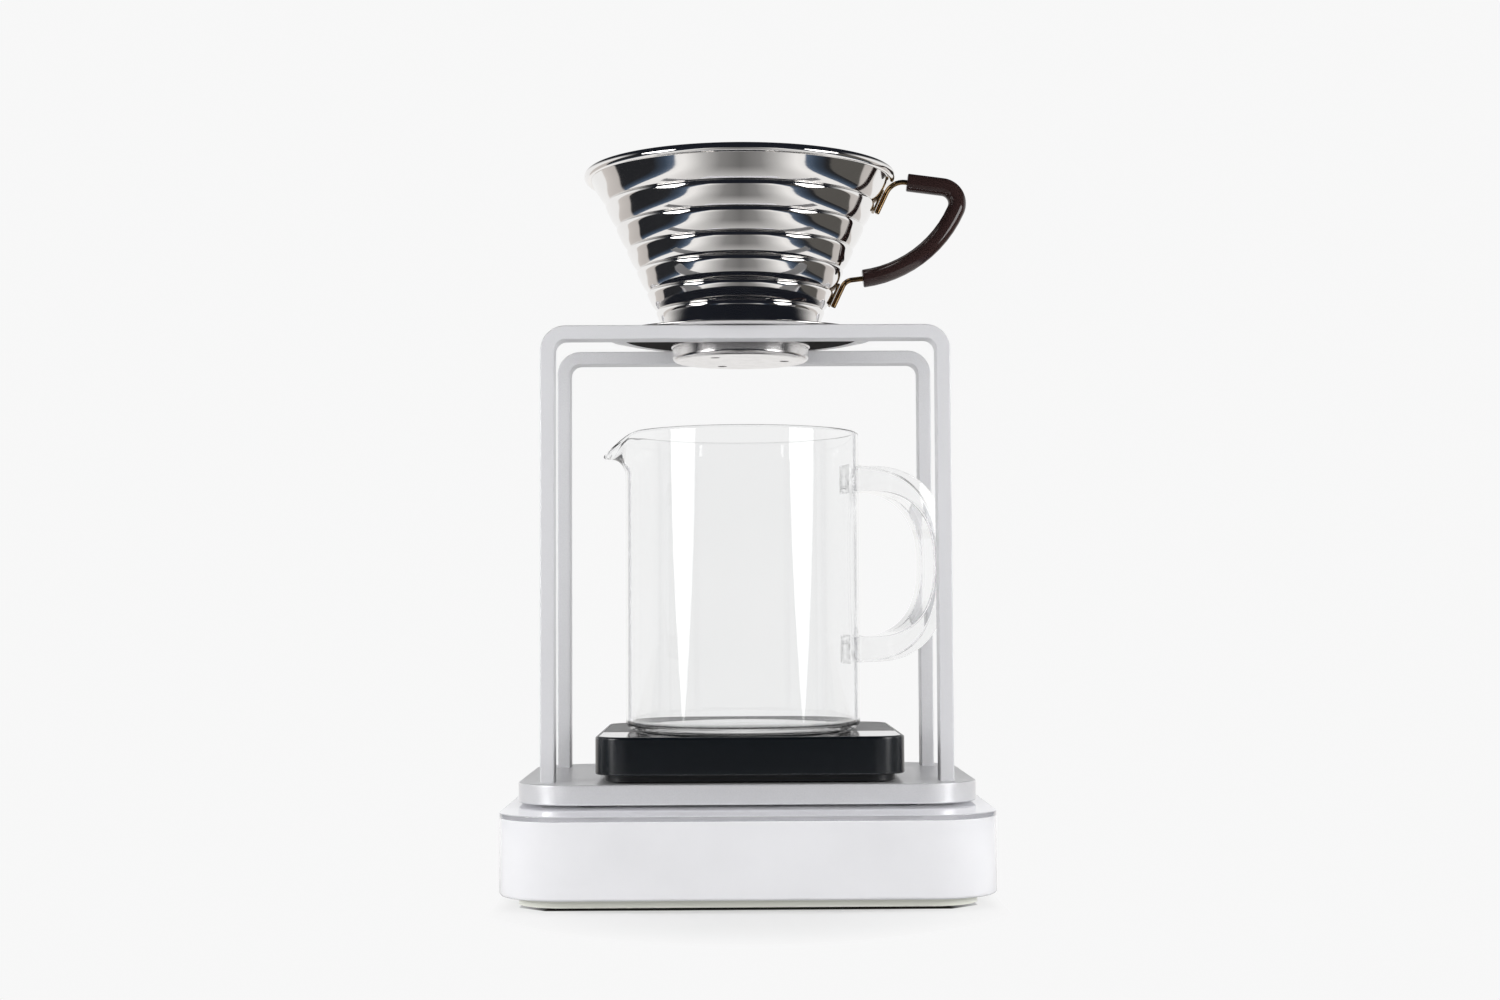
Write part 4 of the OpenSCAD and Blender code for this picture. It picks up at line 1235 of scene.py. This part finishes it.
    def wire_path(self) -> tuple[Array, int, int]:
        """Path of the wire's middle in the plane through the axis: legs before the grip, under it and after it.

        Two sizes are left open, the grip's straight and the radius of its long curve. They are solved so that the
        path ends at the lower strap.

        Returns:
            Rows of out, up and heading, and the row numbers at which the grip begins and ends.
        """
        rise, level, fall = self.slope, -self.grip_slope, self.slope - 180
        corner, curve = level - self.corner_turn, level - self.corner_turn - self.curve_turn
        high = self.height - self.upper_drop
        off = self.swell * math.sin(math.radians(rise)) + self.strap_thick + self.wire / 2 + 2 * self.strap_gap
        run = (high - self.lower_height) / math.sin(math.radians(rise))
        before = [(self.strap_length, rise, rise), (self.upper_bend, rise, level), (self.upper_bare, level, level)]
        after = [(self.lower_bare, curve, curve), (self.lower_bend, curve, fall), (self.strap_length, fall, fall)]
        turned = (self.grip_corner, level, corner)
        left = -run * heading(rise) - sum(leg(*each) for each in (*before, turned, *after))
        straight, radius = np.linalg.solve(np.stack([heading(level), leg(1, corner, curve)], -1), left)
        start = np.array([self.cone_radius(high), high]) + off * heading(rise - 90)
        rows, ends = [np.array([*start, rise])], []
        for legs in (before, [(straight, level, level), turned, (radius, corner, curve)], after):
            for each in legs:
                rows += leg_points(rows[-1][:2], *each)
            ends.append(len(rows) - 1)
        return np.array(rows), ends[0], ends[1]

    def tube(self, rows: Array, sizes: Array, sides: int) -> Patch:
        """Round tube along rows of the wire's path.

        Args:
            rows: Out, up and heading of each ring.
            sizes: Radius of each ring.
            sides: Corners of a ring.

        Returns:
            The tube, with flat ends.
        """
        turn = np.radians(rows[:, 2])
        none = np.zeros(len(rows))
        path = np.stack([rows[:, 0] + self.middle[0], none + self.middle[1], rows[:, 1] + self.flange_top], -1)
        across = np.stack([-np.sin(turn), none, np.cos(turn)], -1)
        return swept(path, across, ALONG_Y, ring(sides), np.stack([sizes, sizes], -1))

    def strap(self, name: str, height: float, node: str) -> None:
        """Strap bent round the cone: a slab with round corners, whose width runs round the axis.

        Args:
            name: Name of the piece.
            height: Height of its lower end above the flange.
            node: The CAD node that it stands for.
        """
        thick, inset = self.strap_thick, self.strap_inset
        profile = rounded([(inset, thick, 0), (0, thick, 0.2), (0, 0, 0.1), (inset, 0, 0)], steps=3)
        path = outline((self.strap_width, self.strap_length), self.strap_corner, (0, self.strap_length / 2), 8, 0.3)
        flat = carried(path, profile).points
        rise, away = heading(self.slope), heading(self.slope - 90)
        off = self.swell * math.sin(math.radians(self.slope)) + self.strap_gap
        foot = np.array([self.cone_radius(height), height]) + off * away
        out, up = (foot[i] + flat[..., 1] * rise[i] + flat[..., 2] * away[i] for i in (0, 1))
        turn = flat[..., 0] / foot[0]
        grid = np.stack([self.middle[0] + out * np.cos(turn), self.middle[1] + out * np.sin(turn),
                         up + self.flange_top], -1)
        finished(new_mesh(name, Patch(grid, cap_cols=True)), Body.DRIPPER, BRONZE, node)


def eased_ends(rows: Array, radius: float, ease: float, least: float) -> tuple[Array, Array]:
    """Adds rings at both ends of a tube's path, so that its ends are eased.

    Args:
        rows: Out, up and heading of each ring.
        radius: Radius of the tube.
        ease: Length and depth of the eased edge.
        least: Radius of the end faces' middle ring.

    Returns:
        The new rows and the radius at each of them.
    """
    back = np.array([0.0, 0.0, 0.3 * ease, ease, 1.3 * ease])
    sizes = np.array([least, radius - ease, radius - 0.3 * ease, radius, radius])
    first, last = (row + sign * back[:, None] * np.array([*heading(row[2]), 0])
                   for row, sign in ((rows[0], 1), (rows[-1], -1)))
    all_rows = np.vstack([first, rows[1:-1], last[::-1]])
    return all_rows, np.concatenate([sizes, np.full(len(rows) - 2, radius), sizes[::-1]])


# ---- Studio ----


@dataclass
class Studio:
    """Camera, floor, soft boxes and background. Lengths are in metres, apart from those of the soft boxes' faces."""

    place: Triple = (-0.004705, -0.77556, 0.09282)
    pitch: float = 0.0527
    yaw: float = 0.0082
    roll: float = -0.0051
    focal_px: float = 2201.61
    frame_px: float = 1500.0
    sensor: float = 36.0
    backdrop: Rgb = (0.935, 0.935, 0.935)
    ceiling: Rgb = (0.012, 0.014, 0.02)
    horizon_light: float = 0.6
    zenith_light: float = 0.12
    aim: Triple = (0.0, 0.0, 0.12)
    box_place: Triple = (0.40, -0.25, 0.16)
    box_size: Pair = (0.24, 0.24)
    box_power: float = 1.2
    box_light: float = 5.0
    box_rise: Pair = (32.0, 262.0)
    box_half: float = 112.0
    lamps: tuple[tuple[str, Triple, Pair, float], ...] = (
        ("soft_box_top", (0.0, 0.1, 1.5), (1.2, 1.0), 1.5),
        ("soft_box_front", (0.0, -1.2, 0.25), (1.1, 0.7), 2.8),
        ("soft_box_back", (0.0, 1.3, 0.4), (1.1, 0.7), 1.6))
    bounces: tuple[int, int, int] = (24, 16, 24)
    table_half: float = 6.0
    floor_glow: float = 0.3
    footprint: Pair = (0.0737, 0.1385)
    footprint_edge: float = 0.0007
    shadow_oval: Pair = (0.1, 0.15)
    shadow_start: float = 0.6
    shadow_ends: Pair = (0.064, 0.082)
    # Painted shadow: the dark colour of the floor under the tray's footprint.
    painted_shadow_under_tray: Rgb = (0.03, 0.03, 0.028)
    floor_bounce: float = 0.42
    mirror_height: float = 0.002
    room_side: Rgb = (0.02, 0.021, 0.024)
    room_edge: Rgb = (0.11, 0.155, 0.23)
    room_right: Rgb = (0.10, 0.095, 0.088)
    room_back: Rgb = (0.55, 0.52, 0.50)
    paper: Rgb = (0.95, 0.94, 0.93)
    paper_half: float = 0.272
    paper_edge: float = 0.007
    paper_tones: tuple[Pair, ...] = ((0.0, 0.18), (0.3, 0.27), (0.56, 0.55), (0.86, 1.0))
    dim_ends: Pair = (-0.247, 0.12)
    right_start: Pair = (1.45, 1.5)
    back_start: Pair = (0.25, 0.28)
    back_stops: Triple = (0.26, 0.75, 0.85)
    dark_front: Pair = (-0.58, -0.54)

    def build(self) -> None:
        """Sets up the view, the background, the lamps and the floor."""
        bpy.context.scene.view_settings.view_transform = "Standard"
        cycles = bpy.context.scene.cycles
        cycles.max_bounces, cycles.glossy_bounces, cycles.transmission_bounces = self.bounces
        self.camera()
        self.world()
        aside, before, high = self.box_place
        for name, x in (("soft_box_left", -aside), ("soft_box_right", aside)):
            self.lamp(name, (x, before, high), self.box_size, self.box_power)
            self.soft_box(name + "_face", (x, before))
        for each in self.lamps:
            self.lamp(*each)
        self.floor()
        self.mirrored_table()

    def camera(self) -> None:
        """Camera fitted to the photograph: rolled, then pitched up from level, then turned by its yaw."""
        data = bpy.data.cameras.new("view")
        data.sensor_fit, data.sensor_width = "HORIZONTAL", self.sensor
        data.lens = self.focal_px / self.frame_px * self.sensor
        data.clip_start, data.clip_end = 0.01, 50
        turns = ((-self.yaw, "Z"), (math.pi / 2 + self.pitch, "X"), (self.roll, "Z"))
        yaw, pitch, roll = (Matrix.Rotation(angle, 4, axis) for angle, axis in turns)
        view = bpy.context.scene.camera = linked("view", data)
        view.matrix_world = Matrix.Translation(self.place) @ yaw @ pitch @ roll

    def world(self) -> None:
        """Plain pale background for the camera and through glass, and a room with a dark ceiling for reflections.

        For all other rays it is soft white light, brighter at the horizon than overhead.
        """
        world = bpy.context.scene.world = bpy.data.worlds.new("studio")
        nodes = Nodes(world)
        path = nodes.node("LightPath").outputs
        way = nodes.node("SeparateXYZ", nodes.node("TexCoord").outputs["Generated"]).outputs
        behind, below, high = (nodes.span(way[axis], 0, 1, start, end, interpolation_type="SMOOTHSTEP")
                               for axis, start, end in (("Y", -0.2, 0.2), ("Z", 0.5, 0.2), ("Z", 0.0, 0.8)))
        pale, dark, level, zenith = (nodes.node("Background", colour, strength) for colour, strength in (
            (self.backdrop, 1.0), (self.ceiling, 1.0), ((1, 1, 1), self.horizon_light), ((1, 1, 1), self.zenith_light)))
        room = nodes.mixed(nodes.maths("MULTIPLY", behind, below), dark, pale)
        seen = nodes.maths("MAXIMUM", path["Is Camera Ray"], path["Is Transmission Ray"])
        plain = nodes.mixed(seen, nodes.mixed(high, level, zenith), pale)
        outside = nodes.maths("LESS_THAN", path["Transmission Depth"], 0.5)
        whole = nodes.mixed(path["Is Glossy Ray"], plain, nodes.mixed(outside, pale, room))
        nodes.node("OutputWorld", whole.outputs[0])

    def lamp(self, name: str, place: Triple, size: Pair, power: float) -> None:
        """Soft box that faces the station.

        Args:
            name: Name of the lamp.
            place: Where it stands.
            size: Width and height.
            power: Power in watts.
        """
        data = bpy.data.lights.new(name, "AREA")
        data.shape, data.size, data.size_y, data.energy = "ELLIPSE", *size, power
        lamp = linked(name, data)
        lamp.location = place
        lamp.rotation_euler = (Vector(self.aim) - Vector(place)).to_track_quat("-Z", "Y").to_euler()
        lamp.visible_glossy = lamp.visible_transmission = False

    def staged(self, name: str, grid: Array, look: Material, mirrored: bool = True) -> None:
        """Makes a studio piece.

        Args:
            name: Name of the piece.
            grid: Its points, in millimetres.
            look: Its material.
            mirrored: True where only reflections see it.
        """
        piece = new_mesh(name, Patch(grid, wrap_rows=False))
        piece.data.materials.append(look)
        if mirrored:
            piece.visible_camera = piece.visible_diffuse = False
            piece.visible_transmission = piece.visible_shadow = False

    def level(self, height: float) -> Array:
        """Corners of a wide level sheet at a height, in millimetres."""
        ends = np.array([-self.table_half, self.table_half])
        return np.stack([*np.meshgrid(ends, ends, indexing="ij"), np.full((2, 2), height)], axis=-1) / MM

    def soft_box(self, name: str, place: Pair) -> None:
        """Face of a soft box as polished pieces see it: an upright sheet that narrows to a point below.

        Its half width grows as a sine of the height up to three quarters, stays, and rounds off at the top.

        Args:
            name: Name of the sheet.
            place: Where it stands on the table.
        """
        low, high = self.box_rise
        up = np.linspace(0, 1, 33)
        swell = np.sin(np.minimum(up / 0.75, 1) * math.pi / 2) ** 0.85
        wide = swell * np.sqrt(1 - np.clip((up - 0.85) / 0.15, 0, 1) ** 2 * 0.98)
        foot = np.array(place) / MM
        across = unit(np.array([-foot[1], foot[0]]))
        grid = np.empty((33, 9, 3))
        grid[..., :2] = foot + (self.box_half * wide[:, None] * np.linspace(-1, 1, 9))[..., None] * across
        grid[..., 2] = (low + (high - low) * up)[:, None]
        shader = Shader(name + "_look")
        self.staged(name, grid, shader.alone(shader.node("Emission", (1, 1, 1), self.box_light)))

    def floor(self) -> None:
        """Pale floor that keeps the shadow near the station, has a painted shadow in dark colour under the tray and
        fades into the background.
        """
        shader = Shader("floor_look")
        way = shader.node("SeparateXYZ", shader.place).outputs
        aside, along = shader.maths("ABSOLUTE", way["X"]), shader.maths("ABSOLUTE", way["Y"])
        half, slant = self.footprint
        corner = shader.span(shader.maths("ADD", aside, along), 0, half, 0, slant)
        reach = shader.maths("MAXIMUM", shader.maths("MAXIMUM", aside, along), corner)
        outside, glow = (shader.span(reach, 0, most, half - self.footprint_edge, half) for most in (1, self.floor_glow))
        # Inside the tray's footprint the floor's colour is the painted dark shadow; outside it is the backdrop's
        # colour.
        matt = shader.node("BsdfDiffuse", shader.blend(outside, self.painted_shadow_under_tray, self.backdrop))
        shadow = shader.mixed(glow, matt, shader.node("Emission", (1, 1, 1)))
        wide, deep = self.shadow_oval
        oval = shader.node("VectorMath", shader.stretched((1 / wide, 1 / deep, 0.0)), operation="LENGTH")
        faded = shader.span(oval.outputs["Value"], 0, 1, self.shadow_start, 1.0)
        ends = shader.span(aside, 0, 1, *self.shadow_ends)
        fade = shader.maths("MAXIMUM", shader.maths("MINIMUM", faded, outside), ends)
        seen = shader.mixed(fade, shadow, shader.node("Emission", self.backdrop))
        bounce = shader.node("Emission", self.backdrop, self.floor_bounce)
        whole = shader.mixed(shader.node("LightPath").outputs["Is Diffuse Ray"], seen, bounce)
        self.staged("floor", self.level(0.0), shader.alone(whole), mirrored=False)

    def mirrored_table(self) -> None:
        """The table as polished pieces see it: pale paper with a dark room round it, seen only by reflections.

        The paper is dim in the middle, where the camera stands before it, and pale to its edges. Beside it the room
        is dark, and behind it grey and then pale. Far out in front it is dark.
        """
        shader = Shader("mirrored_table_look")
        way = shader.node("SeparateXYZ", shader.place).outputs
        aside, half = shader.maths("ABSOLUTE", way["X"]), self.paper_half
        dim = shader.ramp(aside, *((place * half, shade(self.paper, tone)) for place, tone in self.paper_tones))
        paper = shader.blend(shader.span(way["Y"], 0, 1, *self.dim_ends), dim, self.paper)
        side = shader.ramp(aside, (half, self.room_edge), (1.2 * half, shade(self.room_edge, 0.4)),
                           (1.4 * half, self.room_side))
        right, right_end = self.right_start
        side = shader.blend(shader.span(way["X"], 0, 1, right * half, right_end * half), side, self.room_right)
        greys = (self.room_back, shade(self.room_back, 1.2), self.backdrop)
        back = shader.ramp(way["Y"], *zip(self.back_stops, greys))
        room = shader.blend(shader.span(way["Y"], 0, 1, *self.back_start), side, back)
        near = shader.blend(shader.span(aside, 0, 1, half, half + self.paper_edge), paper, room)
        colour = shader.blend(shader.span(way["Y"], 1, 0, *self.dark_front), near, self.ceiling)
        look = shader.alone(shader.node("Emission", colour))
        self.staged("mirrored_table", self.level(self.mirror_height), look)


def main() -> None:
    """Builds the studio and the sub-assemblies."""
    logging.basicConfig(level=logging.INFO, format="%(name)s: %(message)s")
    for part in (Studio(), BaseScale(), Stand(), BrewScale(), Jug(), Dripper()):
        part.build()


if __name__ == "__main__":
    main()
